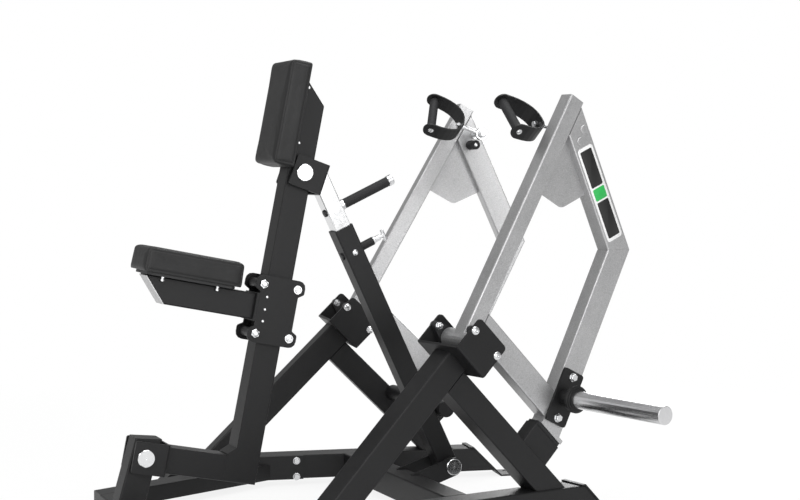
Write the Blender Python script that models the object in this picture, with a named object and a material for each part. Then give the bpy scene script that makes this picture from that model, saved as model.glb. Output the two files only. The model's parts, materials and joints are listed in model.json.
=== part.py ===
# Seated row machine: two swinging arms on A-frames, and a chest pad and seat on a tilting post.
# Metres, +Z up. +X is the way the user faces, Y = 0 is the plane of symmetry, Z = 0 is the floor.

import math

import bmesh
import bpy
from mathutils import Matrix, Vector

# Driving dimensions of the whole machine

GAP = 0.0003                 # between faces that touch
RUNNING_GAP = 0.0004         # round a shaft that turns
WELD = 0.001                 # a welded piece runs this far into what carries it
TUBE = 0.075                 # square frame tube
TUBE_ROUND = 0.004           # its rolled corner
YAW = math.radians(10.0)     # each side frame points inwards by this much
HUB_X = 0.1592               # arm pivot
HUB_Y = 0.4201
HUB_Z = 0.5312
ORIGIN_X = 0.0               # moves the whole machine along X

# Rails and base

RAIL_WIDTH = 0.088
RAIL_BOTTOM = 0.020
RAIL_TOP = 0.095
RAIL_REAR = -0.540           # along the side frame, from the arm pivot
RAIL_FRONT = 0.391
STRIP = 0.005                # bent strip that closes a rail's end and stands on the floor
STRIP_WIDTH = 0.094
STRIP_LIP = 0.012            # its short flat run on top of the rail
TAB_LENGTH = 0.062
TAB_HOLE_R = 0.006
TAB_HOLE_SIDE = 0.022
CROSS_BEAM_REAR = 0.115      # front cross beam
CROSS_BEAM_FRONT = 0.190
LOW_BEAM_TOP = 0.070         # diagonals and rear foot beam
DIAGONAL_SLOPE = 0.4557      # sideways per metre forward
DIAGONAL_Y = 0.5131          # where a diagonal's middle line crosses X = 0
REAR_FOOT_REAR = -0.727
REAR_FOOT_FRONT = -0.652
FLANGE = 0.008
FLANGE_REACH = 0.160         # bolted flange, each way from the diagonal's end
PAD_FOOT_R = 0.022           # rubber feet under the rear foot beam
FOOT_SPREAD = 0.090
UPRIGHT_LEAN = math.radians(15.8)
UPRIGHT_TOP = 0.252
UPRIGHT_CUT = math.radians(6.0)    # slope of the upright's top, down towards the front

# A-frames, across their own axes from the arm pivot

LEG_TOP = 0.0716             # rear leg's square top end, below the pivot
FRONT_LEG_OFFSET = 0.1149    # front leg's axis below the pivot
BRACKET_WIDTH = 0.124
BRACKET_RISE = 0.037
BRACKET_OUTER = 0.0975
BRACKET_PLATE = 0.008
BRACKET_ROUND = 0.011
BEARING_BOLT = 0.051
BEARING_THICK = 0.014
BEARING_R = 0.030
SHAFT_R = 0.0125
STOP_REAR = -0.057           # stop post, across the front leg (a minus Z)
STOP_FRONT = 0.102
STOP_WIDTH = 0.050
STOP_PAD = 0.0095
CROSS_TUBE_R = 0.025
CROSS_TUBE_X = 0.2765
CROSS_TUBE_Z = 0.2850
CROSS_TUBE_END = -0.048

# Arms, in each side frame's plane

ARM_TUBE = 0.050
ARM_LEAN = math.radians(29.5)
ARM_OFFSET = -0.004          # beam's middle line, behind the pivot
ARM_LENGTH = 0.768
UPPER_LEAN = math.radians(24.0)
LOWER_LEAN = math.radians(26.2)
KNEE_A = 0.5309              # middle of the mitred knee
KNEE_H = 0.2363
BRACE_OFFSET = 0.0593        # brace's middle line above the pivot, along its normal
HUB_TUBE_R = 0.030
HUB_TUBE_HALF = 0.0735
FOOT_PLATE = 0.012
FOOT_PLATE_FRONT = 0.099
GUSSET = 0.005
GUSSET_A = 0.335             # gusset's rounded nose
GUSSET_H = 0.3588
GUSSET_NOSE_R = 0.022

# Weight horns

HORN_DROP = 0.463            # flange centre, down the lower beam from the knee
HORN_FLANGE_LENGTH = 0.160
HORN_FLANGE = 0.008
HORN_R = 0.0255
HORN_TIP = 0.452
HORN_BOSS_R = 0.024
HORN_COLLAR_R = 0.039
HORN_COLLAR_AT = 0.078

# Handles

STUD_A = 0.3995              # stud through the upper beam
STUD_H = 0.5833
STUD_R = 0.008
EYE_OUT = 0.104              # eye's middle, inwards from the arm's middle plane
EYE_R = 0.020
EYE_WIDTH = 0.016
STEM_R = 0.006
PITCH_LEFT = math.radians(20.4)       # handle's stem, up from level
PITCH_RIGHT = math.radians(12.9)
STRAP_AT = 0.070             # strap's nose, from the eye
GRIP_AT = 0.171
STRAP = 0.005
STRAP_WIDTH = 0.050
STRAP_SPREAD = 0.145         # over both ends of the strap
STRAP_FULLNESS = 0.8         # 1 bends the strap to half an ellipse, less makes it squarer
NUT_SEAT = 0.0018            # stem nut, off the strap's curved inside
GRIP_R = 0.014
SWIVEL_LEFT = math.radians(42.1)
SWIVEL_RIGHT = math.radians(49.2)
BUMPER_A = 0.3850
BUMPER_H = 0.5490
BUMPER_R = 0.015
BUMPER_LENGTH = 0.066

# Tilting post and seat, from the corner where the short arm meets the post

PIVOT_X = -0.6440            # rear pivot
PIVOT_Z = 0.2008
POST_LEAN = math.radians(11.19)
SHORT_ARM = 0.299
POST_TOP_FRONT = 1.067
POST_TOP_REAR = 1.143
UPPER_PIVOT_ALONG = 0.8665
UPPER_PIVOT_ACROSS = 0.007
YOKE_LENGTH = 0.0995
UPPER_YOKE_LENGTH = 0.1035
YOKE_HEIGHT = 0.090
YOKE_PLATE = 0.008
YOKE_WIDTH = 0.116
YOKE_PIVOT = 0.035
YOKE_ROUND = 0.006
PIN_R = 0.0125
CAP_R = 0.0245
CAP_THICK = 0.006
PAD_WIDTH = 0.175
PAD_ROUND = 0.012
CHEST_LOW = 0.870
CHEST_HIGH = 1.172
CHEST_THICK = 0.057
BOARD = 0.008
SEAT_THICK = 0.070
SEAT_BACK = -0.410
SEAT_FRONT = -0.121
BOARD_INSET = 0.016

# Seat carriage on the post

CARRIAGE_AT = 0.462
CARRIAGE_HALF = 0.097
CARRIAGE_BODY = 0.057
CARRIAGE_EAR = 0.074
CARRIAGE_INNER = 0.048
CARRIAGE_PLATE = 0.006
ROLLER_R = 0.0140
ROLLER_RISE = 0.071
SEAT_ARM_HIGH = CARRIAGE_AT + 0.041
SEAT_ARM_TOP_END = -0.387
SEAT_ARM_LOW_END = -0.324

# Strut between the base and the post

STRUT_X = 0.2950             # lower pivot
STRUT_Z = 0.1117
STRUT_OUTER = 0.060
STRUT_INNER = 0.050
STRUT_OUTER_END = 0.795
GRIP_ABOVE = 0.058           # grip, above the outer tube's end
GRIP_REACH = 0.183
LOCK_PIN_ALONG = 0.715
LUG = 0.008
LUG_OUTER = 0.058
LUG_R = 0.028
CORNER_REACH = 0.0235        # corner piece of the post, beyond its rear face
OPEN_CLEARANCE = 0.0012      # round the upper pin, where the linkage is opened
INNER_START = 0.420          # inner tube's hidden end
CAVITY_START = 0.350         # bottom of the outer tube's bore
YOKE_TURN = math.radians(-45.0)
SLEEVE_R = 0.0125            # lock pin's welded sleeve
SLEEVE_END = 0.075
LOCK_PIN_R = 0.0055

# Values that follow from the ones above

SIN, COS = math.sin, math.cos
HALF = TUBE / 2
ARM_HALF = ARM_TUBE / 2
SPAN_X = SHORT_ARM + UPPER_PIVOT_ACROSS
UPPER_X = PIVOT_X + SPAN_X * COS(POST_LEAN) + UPPER_PIVOT_ALONG * SIN(POST_LEAN)
UPPER_Z = PIVOT_Z - SPAN_X * SIN(POST_LEAN) + UPPER_PIVOT_ALONG * COS(POST_LEAN)
STRUT_REACH = math.hypot(UPPER_X - STRUT_X, UPPER_Z - STRUT_Z)
YOKE_OFFSET = 0.050          # upper pivot, behind the strut's middle line
STRUT_LEAN = math.atan2(STRUT_X - UPPER_X, UPPER_Z - STRUT_Z) - math.asin(YOKE_OFFSET / STRUT_REACH)
STRUT_TOP = math.sqrt(STRUT_REACH ** 2 - YOKE_OFFSET ** 2)


# Small tools for making solids. Outlines lie in a piece's own XZ plane unless said otherwise.

def clear_scene():
    for item in list(bpy.data.objects):
        bpy.data.objects.remove(item)


def material(name, colour, roughness, metallic=0.0):
    paint = bpy.data.materials.new(name)
    paint.use_nodes = True
    shader = paint.node_tree.nodes["Principled BSDF"]
    shader.inputs["Base Color"].default_value = (*colour, 1.0)
    shader.inputs["Roughness"].default_value = roughness
    shader.inputs["Metallic"].default_value = metallic
    return paint


def frame(name, location, turn_x=0.0, turn_y=0.0, turn_z=0.0, parent=None):
    empty = bpy.data.objects.new(name, None)
    bpy.context.collection.objects.link(empty)
    empty.location = location
    empty.rotation_euler = (turn_x, turn_y, turn_z)
    empty.parent = parent
    return empty


def along(origin, direction, distance):
    return (origin[0] + direction[0] * distance, origin[1] + direction[1] * distance)


def meet(p, d, q, e):
    """Where the line through p along d crosses the line through q along e."""
    cross = d[0] * e[1] - d[1] * e[0]
    reach = ((q[0] - p[0]) * e[1] - (q[1] - p[1]) * e[0]) / cross
    return along(p, d, reach)


def rounded(outline, radii, steps=4):
    """The outline with its corners turned into arcs; radii holds one radius for each corner."""
    points = []
    count = len(outline)
    for index, corner in enumerate(outline):
        radius = radii[index] if isinstance(radii, (list, tuple)) else radii
        if radius <= 0.0:
            points.append(corner)
            continue
        here = Vector(corner)
        before = (Vector(outline[index - 1]) - here).normalized()
        after = (Vector(outline[(index + 1) % count]) - here).normalized()
        half_angle = before.angle(after) / 2
        centre = here + (before + after).normalized() * (radius / SIN(half_angle))
        start = here + before * (radius / math.tan(half_angle)) - centre
        end = here + after * (radius / math.tan(half_angle)) - centre
        sweep = start.angle_signed(end)
        for step in range(steps + 1):
            turn = -sweep * step / steps
            points.append(
                (
                    centre.x + start.x * COS(turn) - start.y * SIN(turn),
                    centre.y + start.x * SIN(turn) + start.y * COS(turn),
                )
            )
    return points


def circle(centre, radius, count=24, start=0.0):
    turns = [start + 2 * math.pi * index / count for index in range(count)]
    return [(centre[0] + radius * COS(turn), centre[1] + radius * SIN(turn)) for turn in turns]


def prism(body, outline, low, high, axis="Y", edge_round=0.0, longest=0.045, round_steps=2):
    """Extrudes an outline along Y (outline in XZ) or Z (outline in XY), and rolls its long edges."""
    def point(u, v, w):
        return (u, w, v) if axis == "Y" else (u, v, w)

    lower = [body.verts.new(point(u, v, low)) for u, v in outline]
    upper = [body.verts.new(point(u, v, high)) for u, v in outline]
    faces = [body.faces.new(lower), body.faces.new(upper)]
    count = len(outline)
    for index in range(count):
        following = (index + 1) % count
        faces.append(body.faces.new((lower[index], lower[following], upper[following], upper[index])))
    bmesh.ops.recalc_face_normals(body, faces=faces)
    if edge_round > 0.0:
        rims = set(faces[0].edges) | set(faces[1].edges)
        long_edges = [edge for edge in rims if edge.calc_length() > longest]
        bmesh.ops.bevel(
            body, geom=long_edges, offset=edge_round, segments=round_steps, profile=0.5,
            affect="EDGES", clamp_overlap=True,
        )


def turned(body, profile, count=24, axis="Y", centre=(0.0, 0.0, 0.0)):
    """Turns a profile of (radius, distance) round an axis and closes both ends."""
    rings = []
    for radius, distance in profile:
        ring = []
        for index in range(count):
            turn = 2 * math.pi * (index + 0.5) / count
            side = (radius * COS(turn), radius * SIN(turn))
            if axis == "Y":
                place = (side[0], distance, side[1])
            elif axis == "X":
                place = (distance, side[0], side[1])
            else:
                place = (side[0], side[1], distance)
            ring.append(body.verts.new(Vector(place) + Vector(centre)))
        rings.append(ring)
    faces = [body.faces.new(rings[0]), body.faces.new(rings[-1])]
    for first, second in zip(rings, rings[1:]):
        for index in range(count):
            following = (index + 1) % count
            faces.append(body.faces.new((first[index], first[following], second[following], second[index])))
    bmesh.ops.recalc_face_normals(body, faces=faces)


def channel(open_end, web_end, outer, plate, half_height, corner_round, centre, turn):
    """A bent U bracket. Its depth runs from the open end to the web, turned in the XZ plane."""
    body = bmesh.new()
    inner = outer - plate
    outline = [
        (open_end, -outer), (web_end, -outer), (web_end, outer), (open_end, outer),
        (open_end, inner), (web_end - plate, inner), (web_end - plate, -inner), (open_end, -inner),
    ]
    prism(body, outline, -half_height, half_height, axis="Z")

    def runs(edge, axis):
        return abs((edge.verts[0].co - edge.verts[1].co).normalized()[axis]) > 0.999

    bends = [
        edge for edge in body.edges
        if runs(edge, 2) and all(abs(v.co.y) > inner + GAP and v.co.x > open_end + GAP for v in edge.verts)
    ]
    bmesh.ops.bevel(body, geom=bends, offset=plate * 0.8, segments=3, profile=0.5, affect="EDGES")
    corners = [
        edge for edge in body.edges
        if runs(edge, 1) and edge.calc_length() < plate * 1.1
        and all(v.co.x < open_end + GAP for v in edge.verts)
    ]
    bmesh.ops.bevel(body, geom=corners, offset=corner_round, segments=4, profile=0.5, affect="EDGES")
    place = Matrix.Translation((centre[0], 0.0, centre[1])) @ Matrix.Rotation(-turn, 4, "Y")
    body.transform(place)
    return body


def piece(name, body, paint, parent, smooth=True):
    mesh = bpy.data.meshes.new(name)
    body.to_mesh(mesh)
    body.free()
    mesh.materials.append(paint)
    solid = bpy.data.objects.new(name, mesh)
    bpy.context.collection.objects.link(solid)
    solid.parent = parent
    if smooth:
        mesh.shade_smooth()
        mesh.set_sharp_from_angle(angle=math.radians(30.0))
    return solid


def carve(solid, cutter_body, operation="DIFFERENCE"):
    """Cuts a body from a solid, or unites it with the solid, in the solid's own frame."""
    mesh = bpy.data.meshes.new("cutter")
    cutter_body.to_mesh(mesh)
    cutter_body.free()
    cutter = bpy.data.objects.new("cutter", mesh)
    bpy.context.collection.objects.link(cutter)
    cutter.parent = solid.parent
    bpy.context.view_layer.update()
    step = solid.modifiers.new("cut", "BOOLEAN")
    step.operation = operation
    step.solver = "EXACT"
    step.object = cutter
    depsgraph = bpy.context.evaluated_depsgraph_get()
    result = bpy.data.meshes.new_from_object(solid.evaluated_get(depsgraph), depsgraph=depsgraph)
    old = solid.data
    solid.modifiers.clear()
    solid.data = result
    result.name = solid.name
    result.shade_smooth()
    result.set_sharp_from_angle(angle=math.radians(30.0))
    bpy.data.meshes.remove(old)
    bpy.data.objects.remove(cutter)


clear_scene()
black_paint = material("black_paint", (0.030, 0.030, 0.032), 0.45)
silver_paint = material("silver_paint", (0.42, 0.42, 0.43), 0.42, 0.3)
zinc = material("zinc", (0.72, 0.72, 0.73), 0.25, 1.0)
black_rubber = material("black_rubber", (0.022, 0.022, 0.022), 0.7)
black_vinyl = material("black_vinyl", (0.035, 0.035, 0.036), 0.5)
black_plastic = material("black_plastic", (0.03, 0.03, 0.03), 0.5)
machine = frame("machine", (ORIGIN_X, 0.0, 0.0))
SIDES = (("left", 1.0), ("right", -1.0))


# Rails, cross beams and feet

ROOT2 = math.sqrt(2.0)
FOOT_UNDER = 0.0020          # arm's foot plate, above the pivot along the stop post


def thickened(path, thickness):
    """A strip's outline: the path and its copy set off to the left, mitred at the bends."""
    points = [Vector(point) for point in path]
    offset = []
    for index, here in enumerate(points):
        normals = []
        for first, second in ((index - 1, index), (index, index + 1)):
            if first >= 0 and second < len(points):
                run = (points[second] - points[first]).normalized()
                normals.append(Vector((-run.y, run.x)))
        normal = sum(normals, Vector((0.0, 0.0))).normalized()
        offset.append(here + normal * (thickness / normal.dot(normals[0])))
    return [tuple(point) for point in points] + [tuple(point) for point in reversed(offset)]


def between(side, first, second):
    """Low and high Y of a span given by two distances outwards from a side frame's middle plane."""
    return min(side * first, side * second), max(side * first, side * second)


def side_point(side, a, out):
    """World X and Y of a point of a side frame."""
    return (
        HUB_X + a * COS(YAW) + out * SIN(YAW),
        side * (HUB_Y - a * SIN(YAW) + out * COS(YAW)),
    )


def along_side(side):
    return (COS(YAW), -side * SIN(YAW))


side_frames = {
    name: frame("side_frame_" + name, (HUB_X, side * HUB_Y, 0.0), turn_z=-side * YAW, parent=machine)
    for name, side in SIDES
}


def make_rail(name, side):
    body = bmesh.new()
    drop = RAIL_TOP - RAIL_BOTTOM
    outline = [
        (RAIL_REAR, RAIL_TOP),
        (RAIL_FRONT, RAIL_TOP),
        (RAIL_FRONT + drop, RAIL_BOTTOM),
        (RAIL_REAR - drop, RAIL_BOTTOM),
    ]
    prism(body, outline, -RAIL_WIDTH / 2, RAIL_WIDTH / 2, edge_round=TUBE_ROUND, longest=0.2)
    rail = piece("rail_" + name, body, black_paint, side_frames[name])
    holes = bmesh.new()
    for end, outward in ((RAIL_FRONT, 1.0), (-RAIL_REAR, -1.0)):
        sunk = RAIL_TOP - WELD / 2
        floor_at = end + sunk
        path = [
            (end - STRIP_LIP, sunk),
            (end, sunk),
            (floor_at, 0.0),
            (floor_at + TAB_LENGTH, 0.0),
        ]
        outline = [(outward * a, z) for a, z in thickened(path, STRIP)]
        strip = bmesh.new()
        prism(strip, outline, -STRIP_WIDTH / 2, STRIP_WIDTH / 2)
        carve(rail, strip, "UNION")
        hole = (outward * (floor_at + TAB_LENGTH / 2), side * TAB_HOLE_SIDE)
        prism(holes, circle(hole, TAB_HOLE_R, 16), -STRIP, 2 * STRIP, axis="Z")
    carve(rail, holes)


def diagonal_edge(side, across):
    """A point and a direction, in world XY, of a diagonal's edge this far from its middle line."""
    run = Vector((1.0, DIAGONAL_SLOPE)).normalized()
    start = Vector((0.0, DIAGONAL_Y)) + Vector((-run.y, run.x)) * across
    return (start.x, side * start.y), (run.x, side * run.y)


def diagonal_meets_side(side, across, out):
    start, run = diagonal_edge(side, across)
    return meet(start, run, side_point(side, 0.0, out), along_side(side))


def flange_centre(side):
    """Where the flange is centred, along the side frame."""
    spot = Vector(diagonal_meets_side(side, 0.0, -RAIL_WIDTH / 2))
    return (spot - Vector(side_point(side, 0.0, -RAIL_WIDTH / 2))).dot(Vector(along_side(side)))


def make_diagonal(name, side):
    face = -RAIL_WIDTH / 2 - GAP
    centre = flange_centre(side)
    corners = [
        side_point(side, centre + reach, out)
        for reach, out in (
            (-FLANGE_REACH, face), (FLANGE_REACH, face),
            (FLANGE_REACH, face - FLANGE), (-FLANGE_REACH, face - FLANGE),
        )
    ]
    flange = bmesh.new()
    prism(flange, corners, RAIL_BOTTOM, RAIL_TOP, axis="Z")
    rear = ((REAR_FOOT_REAR, 0.0), (0.0, 1.0))
    outline = [
        meet(*diagonal_edge(side, -HALF), *rear),
        meet(*diagonal_edge(side, HALF), *rear),
        diagonal_meets_side(side, HALF, face - FLANGE / 2),
        diagonal_meets_side(side, -HALF, face - FLANGE / 2),
    ]
    beam = bmesh.new()
    prism(beam, outline, RAIL_BOTTOM, LOW_BEAM_TOP, axis="Z", edge_round=TUBE_ROUND, longest=0.2)
    carve(piece("diagonal_beam_" + name, beam, black_paint, machine), flange, "UNION")


def make_rear_foot():
    gap = GAP / COS(math.atan(DIAGONAL_SLOPE))
    outline = []
    for side, ends in ((1.0, (REAR_FOOT_REAR, REAR_FOOT_FRONT)), (-1.0, (REAR_FOOT_FRONT, REAR_FOOT_REAR))):
        for x in ends:
            spot = meet(*diagonal_edge(side, -HALF), (x, 0.0), (0.0, 1.0))
            outline.append((x, spot[1] - side * gap))
    body = bmesh.new()
    prism(body, outline, RAIL_BOTTOM, LOW_BEAM_TOP, axis="Z", edge_round=TUBE_ROUND, longest=0.2)
    beam = piece("rear_foot_and_upright", body, black_paint, machine)
    carve(beam, upright_solid(), "UNION")
    bore = bmesh.new()
    hole = PIN_R + RUNNING_GAP
    turned(bore, [(hole, -TUBE), (hole, TUBE)], 24, "Y", (PIVOT_X, 0.0, PIVOT_Z))
    carve(beam, bore)
    middle = (REAR_FOOT_REAR + REAR_FOOT_FRONT) / 2
    for name, side in SIDES:
        foot = bmesh.new()
        profile = [(PAD_FOOT_R, 0.0), (PAD_FOOT_R, 0.012), (PAD_FOOT_R * 0.85, RAIL_BOTTOM - GAP)]
        turned(foot, profile, 24, "Z", (middle, side * FOOT_SPREAD, 0.0))
        piece("rubber_foot_" + name, foot, black_rubber, machine)


def make_front_cross_beam():
    outline = []
    faces = (CROSS_BEAM_REAR, CROSS_BEAM_FRONT)
    for side, ends in ((1.0, faces), (-1.0, faces[::-1])):
        for x in ends:
            spot = side_point(side, 0.0, -RAIL_WIDTH / 2 - GAP)
            outline.append(meet(spot, along_side(side), (x, 0.0), (0.0, 1.0)))
    body = bmesh.new()
    prism(body, outline, RAIL_BOTTOM, RAIL_TOP, axis="Z", edge_round=TUBE_ROUND, longest=0.2)
    beam = piece("front_cross_beam", body, black_paint, machine)
    for side in (1.0, -1.0):
        carve(beam, lug_solid(side), "UNION")
    bore = bmesh.new()
    turned(bore, [(PIN_R + GAP, -TUBE), (PIN_R + GAP, TUBE)], 24, "Y", (STRUT_X, 0.0, STRUT_Z))
    carve(beam, bore)


def upright_solid():
    """The leaning stub that carries the rear pivot."""
    lean = (SIN(UPRIGHT_LEAN), COS(UPRIGHT_LEAN))
    across = (COS(UPRIGHT_LEAN), -SIN(UPRIGHT_LEAN))
    pivot = (PIVOT_X, PIVOT_Z)
    top = along(pivot, lean, (UPRIGHT_TOP - PIVOT_Z) / COS(UPRIGHT_LEAN))
    cut = (top, (COS(UPRIGHT_CUT), -SIN(UPRIGHT_CUT)))
    floor = ((0.0, LOW_BEAM_TOP - WELD), (1.0, 0.0))
    rear, front = along(pivot, across, -HALF), along(pivot, across, HALF)
    outline = [
        meet(rear, lean, *floor), meet(front, lean, *floor),
        meet(front, lean, *cut), meet(rear, lean, *cut),
    ]
    body = bmesh.new()
    prism(body, outline, -HALF, HALF, edge_round=TUBE_ROUND, longest=0.1)
    return body


def lug_solid(side):
    """A teardrop plate that carries one end of the strut's lower axle."""
    pivot = Vector((STRUT_X, STRUT_Z))
    front = CROSS_BEAM_FRONT - WELD
    top = RAIL_TOP - WELD
    high = Vector((CROSS_BEAM_FRONT - 0.032, RAIL_TOP + 0.002))
    low = Vector((front, RAIL_TOP - 0.048))
    outline = [tuple(high), (high.x, top), (front, top), tuple(low)]
    # The two straight edges run from these points, tangent to the round end
    to_high, to_low = high - pivot, low - pivot
    start = math.atan2(to_low.y, to_low.x) + math.acos(LUG_R / to_low.length)
    end = math.atan2(to_high.y, to_high.x) - math.acos(LUG_R / to_high.length)
    start -= 2 * math.pi if start > end else 0.0
    steps = 10
    for step in range(steps + 1):
        turn = start + (end - start) * step / steps
        outline.append((pivot.x + LUG_R * COS(turn), pivot.y + LUG_R * SIN(turn)))
    body = bmesh.new()
    prism(body, outline, *between(side, LUG_OUTER - LUG, LUG_OUTER))
    return body


def make_axle(name, outer, centre, parent, spacer=0.0):
    """A pivot pin with a bright cap at each end, and collars that keep a wide fork in the middle."""
    body = bmesh.new()
    seat = outer + GAP
    half = [
        (CAP_R - 0.0015, -seat - CAP_THICK), (CAP_R, -seat - CAP_THICK + 0.0015), (CAP_R, -seat),
        (PIN_R, -seat),
    ]
    if spacer > 0.0:
        near, far = outer - YOKE_PLATE - GAP, HALF + GAP
        half += [(PIN_R, -near), (spacer, -near), (spacer, -far), (PIN_R, -far)]
    profile = half + [(radius, -y) for radius, y in reversed(half)]
    turned(body, profile, 28, "Y", centre)
    piece(name, body, zinc, parent)


# A-frames and what carries the arms

LEG_F = (1.0 / ROOT2, -1.0 / ROOT2)      # down the front leg
LEG_N = (1.0 / ROOT2, 1.0 / ROOT2)       # up the rear leg
HUB = (0.0, HUB_Z)


def leg_point(forward, up):
    """A point of a side frame, from the pivot along the front leg's run and the rear leg's run."""
    return along(along(HUB, LEG_F, forward), LEG_N, up)


def make_legs(name, side):
    rail = ((0.0, RAIL_TOP + GAP), (1.0, 0.0))
    body = bmesh.new()
    outline = [
        leg_point(-HALF, -LEG_TOP),
        leg_point(HALF, -LEG_TOP),
        meet(leg_point(HALF, 0.0), LEG_N, *rail),
        meet(leg_point(-HALF, 0.0), LEG_N, *rail),
    ]
    prism(body, outline, -HALF, HALF, edge_round=TUBE_ROUND, longest=0.2)
    piece("rear_leg_" + name, body, black_paint, side_frames[name])

    leg = bmesh.new()
    start = HALF + GAP
    outline = [
        leg_point(start, -FRONT_LEG_OFFSET - HALF),
        leg_point(start, -FRONT_LEG_OFFSET + HALF),
        meet(leg_point(0.0, -FRONT_LEG_OFFSET + HALF), LEG_F, *rail),
        meet(leg_point(0.0, -FRONT_LEG_OFFSET - HALF), LEG_F, *rail),
    ]
    prism(leg, outline, -HALF, HALF, edge_round=TUBE_ROUND, longest=0.2)
    post = bmesh.new()
    pad_top = FOOT_UNDER - GAP
    post_top = pad_top - STOP_PAD - GAP
    post_foot = -FRONT_LEG_OFFSET
    rear, front = (STOP_REAR + HUB_Z) / ROOT2, (STOP_FRONT + HUB_Z) / ROOT2
    outline = [
        leg_point(rear, post_foot), leg_point(front, post_foot),
        leg_point(front, post_top), leg_point(rear, post_top),
    ]
    prism(post, outline, -STOP_WIDTH / 2, STOP_WIDTH / 2, edge_round=TUBE_ROUND, longest=0.1)
    carve(piece("front_leg_" + name, leg, black_paint, side_frames[name]), post, "UNION")

    pad = bmesh.new()
    inset = 0.004
    outline = [
        leg_point(rear + inset, pad_top - STOP_PAD), leg_point(front - inset, pad_top - STOP_PAD),
        leg_point(front - inset, pad_top), leg_point(rear + inset, pad_top),
    ]
    prism(pad, outline, -STOP_WIDTH / 2 + inset, STOP_WIDTH / 2 - inset)
    piece("stop_pad_" + name, pad, black_rubber, side_frames[name])


def make_bracket(name, side):
    body = channel(
        -BRACKET_RISE, LEG_TOP - GAP, BRACKET_OUTER, BRACKET_PLATE, BRACKET_WIDTH / 2, BRACKET_ROUND,
        HUB, math.pi * 1.25,
    )
    piece("pivot_bracket_" + name, body, black_paint, side_frames[name])


def oval_flange(reach, middle_r, end_r, steps=6):
    """Outline of a two-bolt bearing: a round middle with a smaller round at each end, joined by tangents."""
    lean = math.acos((middle_r - end_r) / reach)
    points = []
    for centre, radius, start, end in (
        (reach, end_r, -lean, lean),
        (0.0, middle_r, lean, math.pi - lean),
        (-reach, end_r, math.pi - lean, math.pi + lean),
        (0.0, middle_r, math.pi + lean, 2 * math.pi - lean),
    ):
        for step in range(steps + 1):
            turn = start + (end - start) * step / steps
            points.append(leg_point(centre + radius * COS(turn), radius * SIN(turn)))
    return points


def make_bearings(name, side):
    outer = BRACKET_OUTER - BRACKET_PLATE - GAP
    outline = oval_flange(BEARING_BOLT, BEARING_R, 0.013)
    for place, hand in (("outer", side), ("inner", -side)):
        body = bmesh.new()
        prism(body, outline, *between(hand, outer - BEARING_THICK, outer))
        bore = bmesh.new()
        hole = SHAFT_R + RUNNING_GAP
        turned(bore, [(hole, -0.1), (hole, 0.1)], 24, "Y", (0.0, 0.0, HUB_Z))
        carve(piece("arm_bearing_" + place + "_" + name, body, black_plastic, side_frames[name]), bore)


def make_cross_tube():
    """A round foot bar, from the left front leg's inner face to just past the middle."""
    body = bmesh.new()
    count = 28
    rings = ([], [])
    for index in range(count):
        turn = 2 * math.pi * (index + 0.5) / count
        x = CROSS_TUBE_X + CROSS_TUBE_R * COS(turn)
        z = CROSS_TUBE_Z + CROSS_TUBE_R * SIN(turn)
        spot = meet(side_point(1.0, 0.0, -HALF - GAP), along_side(1.0), (x, 0.0), (0.0, 1.0))
        rings[0].append(body.verts.new((x, CROSS_TUBE_END, z)))
        rings[1].append(body.verts.new((x, spot[1], z)))
    faces = [body.faces.new(rings[0]), body.faces.new(rings[1])]
    for index in range(count):
        following = (index + 1) % count
        faces.append(body.faces.new((
            rings[0][index], rings[0][following], rings[1][following], rings[1][index],
        )))
    bmesh.ops.recalc_face_normals(body, faces=faces)
    piece("foot_bar", body, black_paint, machine)


for name, side in SIDES:
    make_rail(name, side)
    make_diagonal(name, side)
    make_legs(name, side)
    make_bracket(name, side)
    make_bearings(name, side)
make_rear_foot()
make_front_cross_beam()
make_axle("lower_axle", LUG_OUTER, (STRUT_X, 0.0, STRUT_Z), machine)
make_cross_tube()


# Tilting post. Its frame has X along the short arm, from the rear pivot, and Z up the post.

cradle = frame("cradle", (PIVOT_X, 0.0, PIVOT_Z), turn_y=POST_LEAN, parent=machine)
post_frame = frame("post_frame", (SHORT_ARM, 0.0, 0.0), parent=cradle)
UPPER_PIN = (UPPER_PIVOT_ACROSS, UPPER_PIVOT_ALONG)


def yoke_solid(name, length, centre, turn, bore_r, parent):
    """A U bracket of two cheeks and a web, with a hole for its pivot pin."""
    front = length - YOKE_PIVOT
    body = channel(-YOKE_PIVOT, front, YOKE_WIDTH / 2, YOKE_PLATE, YOKE_HEIGHT / 2, YOKE_ROUND, centre, turn)
    solid = piece(name, body, black_paint, parent)
    bore = bmesh.new()
    turned(bore, [(bore_r, -TUBE), (bore_r, TUBE)], 24, "Y", (centre[0], 0.0, centre[1]))
    carve(solid, bore)
    return solid, front


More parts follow.
